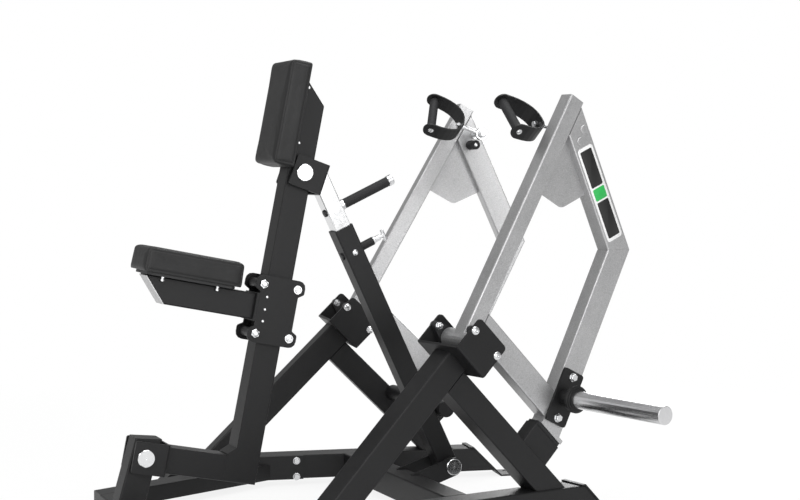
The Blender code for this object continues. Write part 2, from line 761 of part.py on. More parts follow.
def cushion(name, size, centre, parent, thick_axis, outward, crown=0.006, draw=0.004):
    """A padded block: crowned on its outer face, drawn in a little between its corners."""
    body = bmesh.new()
    counts = (6, 6, 3)
    grid = {}
    half = [value / 2 for value in size]

    def shape(unit):
        point = []
        core = [max(half[axis] - PAD_ROUND, 0.0) for axis in range(3)]
        raw = [unit[axis] * half[axis] for axis in range(3)]
        inner = [max(-core[axis], min(core[axis], raw[axis])) for axis in range(3)]
        away = Vector([raw[axis] - inner[axis] for axis in range(3)])
        if away.length > 1e-9:
            away = away.normalized() * PAD_ROUND
        point = Vector(inner) + away
        long_axis, wide_axis = [axis for axis in range(3) if axis != thick_axis]
        flat_long = 1.0 - (point[long_axis] / half[long_axis]) ** 2
        flat_wide = 1.0 - (point[wide_axis] / half[wide_axis]) ** 2
        depth = point[thick_axis] * outward / half[thick_axis]
        point[thick_axis] += outward * crown * flat_long * flat_wide * max(depth, 0.0)
        point[thick_axis] -= outward * crown * max(depth, 0.0)
        point[wide_axis] *= 1.0 - draw * flat_long / half[wide_axis]
        point[long_axis] *= 1.0 - draw * 0.5 * flat_wide / half[long_axis]
        return point + Vector(centre)

    def stations(axis):
        """Grid lines along one axis, closer together over the rolled edges."""
        edge = PAD_ROUND / half[axis]
        middle = counts[axis]
        inner = [-(1 - edge) + 2 * (1 - edge) * index / middle for index in range(middle + 1)]
        rim = [1 - edge * (1 - math.tan(math.pi / 4 * step / 2)) for step in (1, 2)]
        return [-value for value in reversed(rim)] + inner + rim

    lines = [stations(axis) for axis in range(3)]

    def vertex(key):
        if key not in grid:
            grid[key] = body.verts.new(shape([lines[axis][key[axis]] for axis in range(3)]))
        return grid[key]

    for fixed in range(3):
        first, second = [axis for axis in range(3) if axis != fixed]
        for end in (0, len(lines[fixed]) - 1):
            for u in range(len(lines[first]) - 1):
                for v in range(len(lines[second]) - 1):
                    corners = []
                    for du, dv in ((0, 0), (1, 0), (1, 1), (0, 1)):
                        key = [0, 0, 0]
                        key[fixed], key[first], key[second] = end, u + du, v + dv
                        corners.append(vertex(tuple(key)))
                    body.faces.new(corners)
    bmesh.ops.recalc_face_normals(body, faces=body.faces[:])
    piece(name, body, black_vinyl, parent)


def make_post():
    body = bmesh.new()
    corner = HALF + CORNER_REACH
    outline = [
        (-corner, -HALF), (HALF, -HALF), (HALF, POST_TOP_FRONT), (-HALF, POST_TOP_REAR),
        (-HALF, HALF + CORNER_REACH), (-corner, HALF + 0.003),
    ]
    prism(body, outline, -HALF, HALF, edge_round=TUBE_ROUND, longest=0.08)
    bore = bmesh.new()
    hole = PIN_R + GAP
    turned(bore, [(hole, -TUBE), (hole, TUBE)], 24, "Y", (UPPER_PIN[0], 0.0, UPPER_PIN[1]))
    carve(piece("main_post", body, black_paint, post_frame), bore)

    yoke, front = yoke_solid("short_arm", YOKE_LENGTH, (0.0, 0.0), 0.0, PIN_R + GAP, cradle)
    arm = bmesh.new()
    outline = [
        (front - WELD, -HALF), (SHORT_ARM - corner - GAP, -HALF),
        (SHORT_ARM - corner - GAP, HALF), (front - WELD, HALF),
    ]
    prism(arm, outline, -HALF, HALF, edge_round=TUBE_ROUND, longest=0.1)
    carve(yoke, arm, "UNION")
    make_axle("rear_axle", YOKE_WIDTH / 2, (0.0, 0.0, 0.0), cradle)
    make_axle("upper_axle", YOKE_WIDTH / 2, (UPPER_PIN[0], 0.0, UPPER_PIN[1]), post_frame, spacer=0.020)


def make_chest_pad():
    board_front = -HALF - GAP
    pad_front = board_front - BOARD - GAP
    middle = (CHEST_LOW + CHEST_HIGH) / 2
    body = bmesh.new()
    side, low, high = PAD_WIDTH / 2 - BOARD_INSET, CHEST_LOW + BOARD_INSET, CHEST_HIGH - BOARD_INSET
    outline = rounded([(-side, low), (side, low), (side, high), (-side, high)], 0.012, 3)
    flat = [(board_front - BOARD, y, z) for y, z in outline]
    rear = [body.verts.new(point) for point in flat]
    near = [body.verts.new((board_front, y, z)) for _, y, z in flat]
    faces = [body.faces.new(rear), body.faces.new(near)]
    for index in range(len(rear)):
        following = (index + 1) % len(rear)
        faces.append(body.faces.new((rear[index], rear[following], near[following], near[index])))
    bmesh.ops.recalc_face_normals(body, faces=faces)
    piece("chest_board", body, black_plastic, post_frame)
    cushion(
        "chest_pad", (CHEST_THICK, PAD_WIDTH, CHEST_HIGH - CHEST_LOW),
        (pad_front - CHEST_THICK / 2, 0.0, middle), post_frame, 0, -1.0,
    )


# Seat carriage. It slides on the post, so its frame is the post's.

carriage = frame("carriage", (0.0, 0.0, 0.0), parent=post_frame)
ROLLER_ACROSS = HALF + ROLLER_R + RUNNING_GAP
PLATE_OUTER = CARRIAGE_INNER + CARRIAGE_PLATE


def make_carriage():
    notch = 0.049            # half of the waist between the ears
    slant = 0.010
    half = []
    for z in (-CARRIAGE_HALF, -notch - slant):
        half.append((CARRIAGE_EAR, CARRIAGE_AT + z, 0.020 if z == -CARRIAGE_HALF else 0.008))
    half += [(CARRIAGE_BODY, CARRIAGE_AT - notch, 0.004), (CARRIAGE_BODY, CARRIAGE_AT + notch, 0.004)]
    half += [
        (CARRIAGE_EAR, CARRIAGE_AT + notch + slant, 0.008),
        (CARRIAGE_EAR, CARRIAGE_AT + CARRIAGE_HALF, 0.020),
    ]
    half += [(-x, z, radius) for x, z, radius in reversed(half)]
    outline = rounded([(x, z) for x, z, _ in half], [radius for _, _, radius in half], 3)
    body = bmesh.new()
    prism(body, outline, CARRIAGE_INNER, PLATE_OUTER)
    frame_solid = piece("carriage_frame", body, black_paint, carriage)
    other = bmesh.new()
    prism(other, outline, -PLATE_OUTER, -CARRIAGE_INNER)
    carve(frame_solid, other, "UNION")
    for x in (-ROLLER_ACROSS, ROLLER_ACROSS):
        for z in (CARRIAGE_AT - ROLLER_RISE, CARRIAGE_AT + ROLLER_RISE):
            sleeve = bmesh.new()
            reach = CARRIAGE_INNER + WELD
            turned(sleeve, [(ROLLER_R, -reach), (ROLLER_R, reach)], 20, "Y", (x, 0.0, z))
            carve(frame_solid, sleeve, "UNION")
    hole = bmesh.new()
    clear = LOCK_PIN_R + RUNNING_GAP
    turned(hole, [(clear, 0.0), (clear, 0.1)], 20, "Y", (0.0, 0.0, CARRIAGE_AT))
    carve(frame_solid, hole)

    low = SEAT_ARM_HIGH - TUBE
    root_front = -CARRIAGE_BODY - GAP
    root_rear = root_front - 0.008
    arm = bmesh.new()
    prism(arm, [
        (SEAT_ARM_LOW_END, low), (root_rear + 0.001, low),
        (root_rear + 0.001, SEAT_ARM_HIGH), (SEAT_ARM_TOP_END, SEAT_ARM_HIGH),
    ], -HALF, HALF, edge_round=TUBE_ROUND, longest=0.1)
    plate = bmesh.new()
    prism(plate, [
        (root_rear, low - 0.003), (root_front, low - 0.003),
        (root_front, SEAT_ARM_HIGH + 0.003), (root_rear, SEAT_ARM_HIGH + 0.003),
    ], -PLATE_OUTER, PLATE_OUTER)
    carve(piece("seat_arm", arm, black_paint, carriage), plate, "UNION")
    board_low = SEAT_ARM_HIGH + GAP
    pad_low = board_low + BOARD + GAP
    board = bmesh.new()
    rear, fore, side = SEAT_BACK + BOARD_INSET, SEAT_FRONT - BOARD_INSET, PAD_WIDTH / 2 - BOARD_INSET
    outline = rounded([(rear, -side), (fore, -side), (fore, side), (rear, side)], 0.012, 3)
    prism(board, outline, board_low, board_low + BOARD, axis="Z")
    piece("seat_board", board, black_plastic, carriage)
    cushion(
        "seat_pad", (SEAT_FRONT - SEAT_BACK, PAD_WIDTH, SEAT_THICK),
        ((SEAT_FRONT + SEAT_BACK) / 2, 0.0, pad_low + SEAT_THICK / 2), carriage, 2, 1.0,
    )

    # Pull pin on the left plate, pulled clear of the post so that the seat can slide
    lock = frame("seat_lock", (0.0, PLATE_OUTER, CARRIAGE_AT), parent=carriage)
    pin = bmesh.new()
    turned(pin, [
        (LOCK_PIN_R - 0.0005, -0.013), (LOCK_PIN_R, -0.012), (LOCK_PIN_R, GAP), (0.012, GAP),
        (0.012, 0.014), (0.009, 0.018),
        (0.009, 0.030), (0.017, 0.034), (0.019, 0.042), (0.017, 0.050), (0.008, 0.053),
    ], 24)
    piece("seat_lock_pin", pin, black_plastic, lock)


# Strut. Its frame has Z up the strut from the lower pivot and X square to it, forwards and up.

strut = frame("strut", (STRUT_X, 0.0, STRUT_Z), turn_y=-STRUT_LEAN, parent=machine)
strut_slide = frame("strut_slide", (0.0, 0.0, 0.0), parent=strut)


def make_strut():
    half = STRUT_OUTER / 2
    body = bmesh.new()
    prism(body, [(-half, 0.0), (half, 0.0), (half, STRUT_OUTER_END), (-half, STRUT_OUTER_END)],
          -half, half, edge_round=TUBE_ROUND, longest=0.2)
    outer = piece("strut_outer", body, black_paint, strut)
    hub = bmesh.new()
    hub_half = LUG_OUTER - LUG - GAP - 0.0005
    turned(hub, [(LUG_R - 0.002, -hub_half), (LUG_R - 0.002, hub_half)], 32)
    carve(outer, hub, "UNION")
    sleeve = bmesh.new()
    turned(sleeve, [(SLEEVE_R, half - 0.002), (SLEEVE_R, SLEEVE_END)], 24, "X", (0.0, 0.0, LOCK_PIN_ALONG))
    carve(outer, sleeve, "UNION")
    bore = bmesh.new()
    turned(bore, [(PIN_R + RUNNING_GAP, -TUBE), (PIN_R + RUNNING_GAP, TUBE)], 32)
    carve(outer, bore)
    cavity = bmesh.new()
    inside = STRUT_INNER / 2 + GAP
    bore_outline = [(-inside, CAVITY_START), (inside, CAVITY_START), (inside, 1.0), (-inside, 1.0)]
    prism(cavity, bore_outline, -inside, inside)
    carve(outer, cavity)
    pin_hole = bmesh.new()
    turned(pin_hole, [(0.0055, inside - 0.001), (0.0055, 0.1)], 20, "X", (0.0, 0.0, LOCK_PIN_ALONG))
    carve(outer, pin_hole)

    small = STRUT_INNER / 2
    pin_at = (-YOKE_OFFSET, STRUT_TOP)
    open_bore = PIN_R + OPEN_CLEARANCE
    _, front = yoke_solid("upper_yoke", UPPER_YOKE_LENGTH, pin_at, YOKE_TURN, open_bore, strut_slide)
    run = (COS(YOKE_TURN), SIN(YOKE_TURN))
    rise = (-run[1], run[0])
    face = along(pin_at, run, front + GAP)
    inner = bmesh.new()
    prism(inner, [
        (-small, INNER_START), (small, INNER_START),
        meet((small, 0.0), (0.0, 1.0), face, rise), meet((-small, 0.0), (0.0, 1.0), face, rise),
    ], -small, small, edge_round=0.003, longest=0.2)
    piece("strut_inner", inner, zinc, strut_slide)

    grip = bmesh.new()
    reach = small + GAP
    turned(grip, [
        (0.0160, reach), (0.0160, reach + 0.013), (0.0145, reach + 0.0135),
        (0.0145, reach + GRIP_REACH - 0.019), (0.0160, reach + GRIP_REACH - 0.0185),
        (0.0160, reach + GRIP_REACH - 0.002), (0.0145, reach + GRIP_REACH),
    ], 24, "X", (0.0, 0.0, STRUT_OUTER_END + GRIP_ABOVE))
    piece("strut_grip", grip, black_rubber, strut_slide)

    pin_frame = frame("strut_lock", (half, 0.0, LOCK_PIN_ALONG), parent=strut)
    pin = bmesh.new()
    start = SLEEVE_END - half + GAP
    turned(pin, [
        (0.0045, -0.002), (0.005, -0.001), (0.005, start), (0.0115, start), (0.0115, start + 0.005),
        (0.009, start + 0.007), (0.009, start + 0.024), (0.0055, start + 0.026), (0.0055, start + 0.040),
    ], 24, "X")
    solid = piece("strut_lock_pin", pin, zinc, pin_frame)
    cross = bmesh.new()
    turned(cross, [(0.0045, -0.017), (0.0055, -0.016), (0.0055, 0.016), (0.0045, 0.017)], 16, "Z",
           (start + 0.038, 0.0, 0.0))
    carve(solid, cross, "UNION")


make_post()
make_chest_pad()
make_carriage()
make_strut()


# Arms. Each arm's frame has its origin on the pivot, X forward in the side frame's plane and Z up.

ARM_T = (SIN(ARM_LEAN), COS(ARM_LEAN))           # up the front beam
ARM_N = (COS(ARM_LEAN), -SIN(ARM_LEAN))          # square to it, forwards
UPPER_T = (-SIN(UPPER_LEAN), COS(UPPER_LEAN))    # up the upper beam
UPPER_N = (COS(UPPER_LEAN), SIN(UPPER_LEAN))
LOWER_T = (-SIN(LOWER_LEAN), -COS(LOWER_LEAN))   # down the lower beam
LOWER_N = (COS(LOWER_LEAN), -SIN(LOWER_LEAN))
KNEE = (KNEE_A, KNEE_H)
SHAFT_HALF = BRACKET_OUTER - BRACKET_PLATE - 0.001


def arm_line(across):
    """A line along the front beam, this far forward of the pivot."""
    return along((0.0, 0.0), ARM_N, across), ARM_T


def make_arm(name, side, arm):
    front_face = ARM_OFFSET + ARM_HALF
    rear_face = ARM_OFFSET - ARM_HALF
    beam = bmesh.new()
    prism(beam, [
        along((0.0, 0.0), ARM_N, rear_face), along((0.0, 0.0), ARM_N, front_face),
        along(along((0.0, 0.0), ARM_N, front_face), ARM_T, ARM_LENGTH),
        along(along((0.0, 0.0), ARM_N, rear_face), ARM_T, ARM_LENGTH),
    ], -ARM_HALF, ARM_HALF, edge_round=TUBE_ROUND, longest=0.2)
    hub = bmesh.new()
    turned(hub, [
        (SHAFT_R, -SHAFT_HALF), (SHAFT_R, -HUB_TUBE_HALF), (HUB_TUBE_R, -HUB_TUBE_HALF),
        (HUB_TUBE_R, HUB_TUBE_HALF), (SHAFT_R, HUB_TUBE_HALF), (SHAFT_R, SHAFT_HALF),
    ])
    carve(piece("front_beam_" + name, beam, silver_paint, arm), hub, "UNION")

    level = (1.0, 0.0)
    knee_high, knee_low = (0.0, KNEE_H + GAP / 2), (0.0, KNEE_H - GAP / 2)
    inner, outer = along(KNEE, UPPER_N, -HALF), along(KNEE, UPPER_N, HALF)
    upper = bmesh.new()
    prism(upper, [
        meet(inner, UPPER_T, knee_high, level), meet(outer, UPPER_T, knee_high, level),
        meet(outer, UPPER_T, *arm_line(front_face + GAP)),
        meet(inner, UPPER_T, *arm_line(front_face + GAP)),
    ], -ARM_HALF, ARM_HALF, edge_round=TUBE_ROUND, longest=0.2)
    upper_beam = piece("upper_beam_" + name, upper, silver_paint, arm)
    for radius, a, h in ((0.014, STUD_A, STUD_H), (0.012, BUMPER_A, BUMPER_H)):
        cover = bmesh.new()
        turned(cover, [(r, side * out) for r, out in (
            (radius, ARM_HALF - 0.002), (radius, ARM_HALF + 0.0015), (radius - 0.0015, ARM_HALF + 0.003),
        )], 24, "Y", (a, 0.0, h))
        carve(upper_beam, cover, "UNION")

    low_inner, low_outer = along(KNEE, LOWER_N, -HALF), along(KNEE, LOWER_N, HALF)
    under = along((0.0, 0.0), LEG_N, FOOT_UNDER)
    over = along(under, LEG_N, FOOT_PLATE)
    rear_top = meet(low_inner, LOWER_T, over, LEG_F)
    front_reach = (FOOT_PLATE_FRONT + HUB_Z) / ROOT2
    lower = bmesh.new()
    prism(lower, [
        meet(low_inner, LOWER_T, knee_low, level), meet(low_outer, LOWER_T, knee_low, level),
        meet(low_outer, LOWER_T, over, LEG_F), along(over, LEG_F, front_reach),
        along(under, LEG_F, front_reach), along(rear_top, LEG_N, -FOOT_PLATE), rear_top,
    ], -ARM_HALF, ARM_HALF, edge_round=TUBE_ROUND, longest=0.2)
    piece("lower_beam_" + name, lower, silver_paint, arm)

    brace_mid = along((0.0, 0.0), LEG_N, BRACE_OFFSET)
    brace_inner = along(low_inner, LOWER_N, -GAP)
    brace = bmesh.new()
    prism(brace, [
        meet(along(brace_mid, LEG_N, -HALF), LEG_F, *arm_line(front_face + GAP)),
        meet(along(brace_mid, LEG_N, -HALF), LEG_F, brace_inner, LOWER_T),
        meet(along(brace_mid, LEG_N, HALF), LEG_F, brace_inner, LOWER_T),
        meet(along(brace_mid, LEG_N, HALF), LEG_F, *arm_line(front_face + GAP)),
    ], -ARM_HALF, ARM_HALF, edge_round=TUBE_ROUND, longest=0.15)
    saddle = bmesh.new()
    turned(saddle, [(HUB_TUBE_R + GAP, -0.1), (HUB_TUBE_R + GAP, 0.1)])
    carve(piece("arm_brace_" + name, brace, silver_paint, arm), saddle)

    nose = (GUSSET_A, GUSSET_H)
    gusset_inner = along(inner, UPPER_N, 0.002)
    gusset = bmesh.new()
    prism(gusset, rounded([
        meet(nose, ARM_N, *arm_line(front_face + GAP)), nose,
        meet(nose, UPPER_N, gusset_inner, UPPER_T), meet(gusset_inner, UPPER_T, *arm_line(front_face + GAP)),
    ], [0.0, GUSSET_NOSE_R, 0.0, 0.0], 6), -GUSSET / 2, GUSSET / 2)
    carve(upper_beam, gusset, "UNION")


def make_horn(name, side, arm):
    """A weight horn: a bolted flange with a stub, and a bright sleeve over its spigot."""
    centre = along(KNEE, LOWER_T, HORN_DROP)
    place = (centre[0], 0.0, centre[1])
    face = ARM_HALF + GAP
    half = HORN_FLANGE_LENGTH / 2
    body = bmesh.new()
    corners = [
        along(along(centre, LOWER_T, down), LOWER_N, across)
        for down, across in ((-half, -HALF), (-half, HALF), (half, HALF), (half, -HALF))
    ]
    prism(body, rounded(corners, 0.008, 3), *between(side, face, face + HORN_FLANGE))
    mount = piece("horn_mount_" + name, body, black_paint, arm)
    stub = bmesh.new()
    seat = HORN_COLLAR_AT + 0.016
    spigot_r = HORN_R - 0.0055
    turned(stub, [(radius, side * out) for radius, out in (
        (HORN_BOSS_R, face + HORN_FLANGE / 2), (HORN_BOSS_R, HORN_COLLAR_AT),
        (HORN_COLLAR_R, HORN_COLLAR_AT), (HORN_COLLAR_R, HORN_COLLAR_AT + 0.008),
        (HORN_COLLAR_R - 0.004, HORN_COLLAR_AT + 0.009), (HORN_COLLAR_R - 0.004, HORN_COLLAR_AT + 0.012),
        (HORN_COLLAR_R - 0.009, HORN_COLLAR_AT + 0.013), (HORN_COLLAR_R - 0.009, seat),
        (spigot_r, seat), (spigot_r, HORN_TIP - 0.007),
    )], 28, "Y", place)
    carve(mount, stub, "UNION")
    sleeve = bmesh.new()
    turned(sleeve, [(radius, side * out) for radius, out in (
        (spigot_r + GAP, HORN_TIP - 0.006), (spigot_r + GAP, seat + GAP), (HORN_R, seat + GAP),
        (HORN_R, HORN_TIP - 0.0015), (HORN_R - 0.0015, HORN_TIP),
    )], 28, "Y", place)
    piece("horn_sleeve_" + name, sleeve, zinc, arm)


def make_handle(name, side, arm, pitch, swivel):
    inward = -side
    stud_at = (STUD_A, 0.0, STUD_H)
    eye_near, eye_far = EYE_OUT - EYE_WIDTH / 2, EYE_OUT + EYE_WIDTH / 2
    stud = bmesh.new()
    turned(stud, [(radius, inward * out) for radius, out in (
        (0.014, ARM_HALF + GAP), (0.014, ARM_HALF + 0.009), (STUD_R, ARM_HALF + 0.009),
        (STUD_R, eye_near - 0.012), (0.0125, eye_near - 0.012), (0.0125, eye_near - GAP),
        (STUD_R, eye_near - GAP), (STUD_R, eye_far + GAP), (0.0125, eye_far + GAP),
        (0.0125, eye_far + 0.010), (STUD_R * 0.9, eye_far + 0.011), (STUD_R * 0.9, eye_far + 0.014),
    )], 24, "Y", stud_at)
    piece("handle_stud_" + name, stud, zinc, arm)
    bumper = bmesh.new()
    turned(bumper, [(radius, inward * out) for radius, out in (
        (BUMPER_R, ARM_HALF + GAP), (BUMPER_R, ARM_HALF + BUMPER_LENGTH - 0.002),
        (BUMPER_R - 0.002, ARM_HALF + BUMPER_LENGTH),
    )], 24, "Y", (BUMPER_A, 0.0, BUMPER_H))
    piece("handle_bumper_" + name, bumper, black_rubber, arm)
    # The eye's frame has X along the stem, away from the stud
    eye = frame(
        "eye_" + name, (STUD_A, inward * EYE_OUT, STUD_H), turn_y=math.pi + pitch, parent=arm,
    )
    ring = bmesh.new()
    half = EYE_WIDTH / 2
    rim = half - 0.002
    turned(ring, [(EYE_R - 0.0015, -half), (EYE_R, -rim), (EYE_R, rim), (EYE_R - 0.0015, half)], 28)
    solid = piece("handle_eye_" + name, ring, zinc, eye)
    stem = bmesh.new()
    turned(stem, [
        (STEM_R + 0.002, 0.004), (STEM_R + 0.002, EYE_R + 0.008), (STEM_R, EYE_R + 0.012),
        (STEM_R, STRAP_AT - 0.009), (0.010, STRAP_AT - 0.008), (0.010, STRAP_AT - GAP),
        (STEM_R, STRAP_AT - GAP),
        (STEM_R, STRAP_AT + STRAP + NUT_SEAT), (0.0105, STRAP_AT + STRAP + NUT_SEAT),
        (0.0105, STRAP_AT + STRAP + 0.009), (STEM_R, STRAP_AT + STRAP + 0.010),
        (STEM_R, STRAP_AT + STRAP + 0.013),
    ], 20, "X")
    carve(solid, stem, "UNION")
    bore = bmesh.new()
    turned(bore, [(STUD_R + RUNNING_GAP, -0.1), (STUD_R + RUNNING_GAP, 0.1)], 24)
    carve(solid, bore)

    handle = frame("handle_" + name, (0.0, 0.0, 0.0), turn_x=swivel, parent=eye)
    reach = GRIP_AT - STRAP_AT - STRAP
    spread = STRAP_SPREAD / 2 - STRAP
    tab = GRIP_AT + STRAP_WIDTH / 2
    steps = 16
    path = [(tab, -spread)]
    for step in range(steps + 1):
        turn = -math.pi / 2 + math.pi * step / steps
        fore = max(COS(turn), 0.0) ** STRAP_FULLNESS
        aside = math.copysign(abs(SIN(turn)) ** STRAP_FULLNESS, turn)
        path.append((GRIP_AT - reach * fore, spread * aside))
    path.append((tab, spread))
    body = bmesh.new()
    outline = thickened(path, STRAP)
    prism(body, outline, -STRAP_WIDTH / 2, STRAP_WIDTH / 2)
    ends = [
        edge for edge in body.edges
        if edge.calc_length() < STRAP * 1.1 and all(vert.co.x > tab - 0.001 for vert in edge.verts)
    ]
    bmesh.ops.bevel(
        body, geom=ends, offset=STRAP_WIDTH / 2 - 0.0005, segments=6, profile=0.5, affect="EDGES",
        clamp_overlap=True,
    )
    strap = piece("handle_strap_" + name, body, black_paint, handle)
    hole = bmesh.new()
    turned(hole, [(STEM_R + RUNNING_GAP, 0.0), (STEM_R + RUNNING_GAP, 0.1)], 20, "X")
    carve(strap, hole)
    grip_frame = frame("grip_" + name, (GRIP_AT, 0.0, 0.0), parent=handle)
    grip = bmesh.new()
    end = spread - 2 * GAP
    turned(grip, [
        (GRIP_R - 0.001, -end), (GRIP_R, -end + 0.001), (GRIP_R, end - 0.001), (GRIP_R - 0.001, end),
    ], 24, "Z")
    piece("handle_grip_" + name, grip, black_rubber, grip_frame)


for (name, side), pitch, swivel in zip(SIDES, (PITCH_LEFT, PITCH_RIGHT), (SWIVEL_LEFT, SWIVEL_RIGHT)):
    arm = frame("arm_" + name, (0.0, 0.0, HUB_Z), parent=side_frames[name])
    make_arm(name, side, arm)
    make_horn(name, side, arm)
    make_handle(name, side, arm, pitch, swivel)
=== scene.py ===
"""Looks of the seated row machine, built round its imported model."""

import json
import math

import bmesh
import bpy
from mathutils import Matrix, Vector


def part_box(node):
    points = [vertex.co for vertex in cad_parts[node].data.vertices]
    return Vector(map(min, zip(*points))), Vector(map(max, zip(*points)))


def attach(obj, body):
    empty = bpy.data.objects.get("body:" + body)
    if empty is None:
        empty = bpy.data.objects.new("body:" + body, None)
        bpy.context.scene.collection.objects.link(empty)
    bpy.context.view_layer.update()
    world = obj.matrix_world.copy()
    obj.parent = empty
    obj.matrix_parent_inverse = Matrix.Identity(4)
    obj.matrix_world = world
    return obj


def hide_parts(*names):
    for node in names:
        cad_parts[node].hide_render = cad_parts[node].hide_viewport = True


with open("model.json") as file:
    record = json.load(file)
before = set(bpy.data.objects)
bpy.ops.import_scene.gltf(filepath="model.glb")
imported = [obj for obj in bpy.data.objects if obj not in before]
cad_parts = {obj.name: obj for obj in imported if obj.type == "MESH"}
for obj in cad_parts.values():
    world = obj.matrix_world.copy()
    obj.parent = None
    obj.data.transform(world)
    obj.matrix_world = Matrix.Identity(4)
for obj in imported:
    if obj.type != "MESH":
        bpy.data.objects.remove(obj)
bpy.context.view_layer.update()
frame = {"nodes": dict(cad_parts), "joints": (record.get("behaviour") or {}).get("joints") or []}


# Black powder coat on the welded frame.
# Square steel tube, cut, welded and sprayed with a satin black powder that dries to a fine, even
# grit. It is a little lighter where the powder lies thicker, and carries a trace of dust on top.

def node_group(name, inputs, outputs):
    """An empty shader node group with float or colour sockets, and its two end nodes."""
    group = bpy.data.node_groups.new(name, "ShaderNodeTree")
    for label, value in inputs.items():
        socket = group.interface.new_socket(name=label, in_out="INPUT", socket_type="NodeSocketFloat")
        socket.default_value = value
    for label, kind in outputs.items():
        group.interface.new_socket(name=label, in_out="OUTPUT", socket_type=kind)
    return group, group.nodes.new("NodeGroupInput"), group.nodes.new("NodeGroupOutput")


def math_node(tree, operation, first, second, clamp=False):
    node = tree.nodes.new("ShaderNodeMath")
    node.operation = operation
    node.use_clamp = clamp
    for socket, value in zip(node.inputs, (first, second)):
        if isinstance(value, bpy.types.NodeSocket):
            tree.links.new(value, socket)
        else:
            socket.default_value = value
    return node.outputs["Value"]


def noise_node(tree, where, scale, detail=2.0, roughness=0.5):
    node = tree.nodes.new("ShaderNodeTexNoise")
    tree.links.new(where, node.inputs["Vector"])
    if isinstance(scale, bpy.types.NodeSocket):
        tree.links.new(scale, node.inputs["Scale"])
    else:
        node.inputs["Scale"].default_value = scale
    node.inputs["Detail"].default_value = detail
    node.inputs["Roughness"].default_value = roughness
    return node.outputs["Fac"]


def range_node(tree, value, low, high, to_low, to_high):
    node = tree.nodes.new("ShaderNodeMapRange")
    tree.links.new(value, node.inputs["Value"])
    for label, number in (("From Min", low), ("From Max", high), ("To Min", to_low), ("To Max", to_high)):
        if isinstance(number, bpy.types.NodeSocket):
            tree.links.new(number, node.inputs[label])
        else:
            node.inputs[label].default_value = number
    return node.outputs["Result"]


def make_grit_group():
    """Fine powder grit: its height, a slow change of tone, and dust that lies on faces that look up."""
    group, start, end = node_group(
        "powder grit",
        {"Grain Scale": 700.0, "Dust": 0.5},
        {"Height": "NodeSocketFloat", "Tone": "NodeSocketFloat", "Dust": "NodeSocketFloat"},
    )
    where = group.nodes.new("ShaderNodeTexCoord").outputs["Object"]
    fine = noise_node(group, where, start.outputs["Grain Scale"], 2.0, 0.6)
    coarse = noise_node(group, where, 190.0, 1.0)
    cloud = noise_node(group, where, 9.0, 3.0)
    height = math_node(group, "ADD", fine, math_node(group, "MULTIPLY", coarse, 0.35))
    grain = range_node(group, fine, 0.3, 0.7, -0.5, 0.5)
    slow = range_node(group, cloud, 0.3, 0.7, -0.5, 0.5)
    grain_share = math_node(group, "MULTIPLY", grain, 0.8)
    slow_share = math_node(group, "MULTIPLY", slow, 0.2)
    tone = math_node(group, "ADD", grain_share, slow_share)
    facing = group.nodes.new("ShaderNodeNewGeometry").outputs["Normal"]
    split = group.nodes.new("ShaderNodeSeparateXYZ")
    group.links.new(facing, split.inputs["Vector"])
    upward = range_node(group, split.outputs["Z"], 0.3, 1.0, 0.0, 1.0)
    patchy = range_node(group, noise_node(group, where, 26.0, 4.0, 0.65), 0.38, 0.72, 0.0, 1.0)
    settled = math_node(group, "MULTIPLY", upward, patchy)
    dust = math_node(group, "MULTIPLY", settled, start.outputs["Dust"], True)
    group.links.new(height, end.inputs["Height"])
    group.links.new(tone, end.inputs["Tone"])
    group.links.new(dust, end.inputs["Dust"])
    return group


def new_material(name):
    """A material with a bare Principled shader, and its node tree."""
    surface = bpy.data.materials.new(name)
    surface.use_nodes = True
    tree = surface.node_tree
    return surface, tree, tree.nodes["Principled BSDF"]


def group_node(tree, group, **values):
    node = tree.nodes.new("ShaderNodeGroup")
    node.node_tree = group
    for label, value in values.items():
        node.inputs[label.replace("_", " ")].default_value = value
    return node


def mix_colour(tree, factor, first, second):
    node = tree.nodes.new("ShaderNodeMix")
    node.data_type = "RGBA"
    tree.links.new(factor, node.inputs["Factor"])
    for socket, value in ((node.inputs[6], first), (node.inputs[7], second)):
        if isinstance(value, bpy.types.NodeSocket):
            tree.links.new(value, socket)
        else:
            socket.default_value = (*value, 1.0)
    return node.outputs[2]


def bump_from(tree, height, shader, strength, distance):
    node = tree.nodes.new("ShaderNodeBump")
    node.inputs["Strength"].default_value = strength
    node.inputs["Distance"].default_value = distance
    tree.links.new(height, node.inputs["Height"])
    tree.links.new(node.outputs["Normal"], shader.inputs["Normal"])


grit = make_grit_group()


def powder_coat(name, dark, light, rough_low, rough_high, specular, dust, depth, grain=700.0):
    surface, tree, shader = new_material(name)
    coat = group_node(tree, grit, Dust=dust, Grain_Scale=grain)
    tone = range_node(tree, coat.outputs["Tone"], -0.5, 0.5, 0.0, 1.0)
    paint = mix_colour(tree, tone, dark, light)
    dusty = mix_colour(tree, coat.outputs["Dust"], paint, (0.30, 0.29, 0.28))
    tree.links.new(dusty, shader.inputs["Base Color"])
    tree.links.new(range_node(tree, tone, 0.0, 1.0, rough_low, rough_high), shader.inputs["Roughness"])
    shader.inputs["Specular IOR Level"].default_value = specular
    bump_from(tree, coat.outputs["Height"], shader, 0.35, depth)
    return surface


black_coat = powder_coat(
    "black powder coat", (0.006, 0.006, 0.0064), (0.013, 0.013, 0.0136), 0.38, 0.50, 0.27, 0.02, 0.00035,
)


def paint_nodes(surface, *names):
    """Gives CAD pieces their finish."""
    for name in names:
        part = frame["nodes"][name]
        part.data.materials.clear()
        part.data.materials.append(surface)


SIDES = (("left", 1.0), ("right", -1.0))

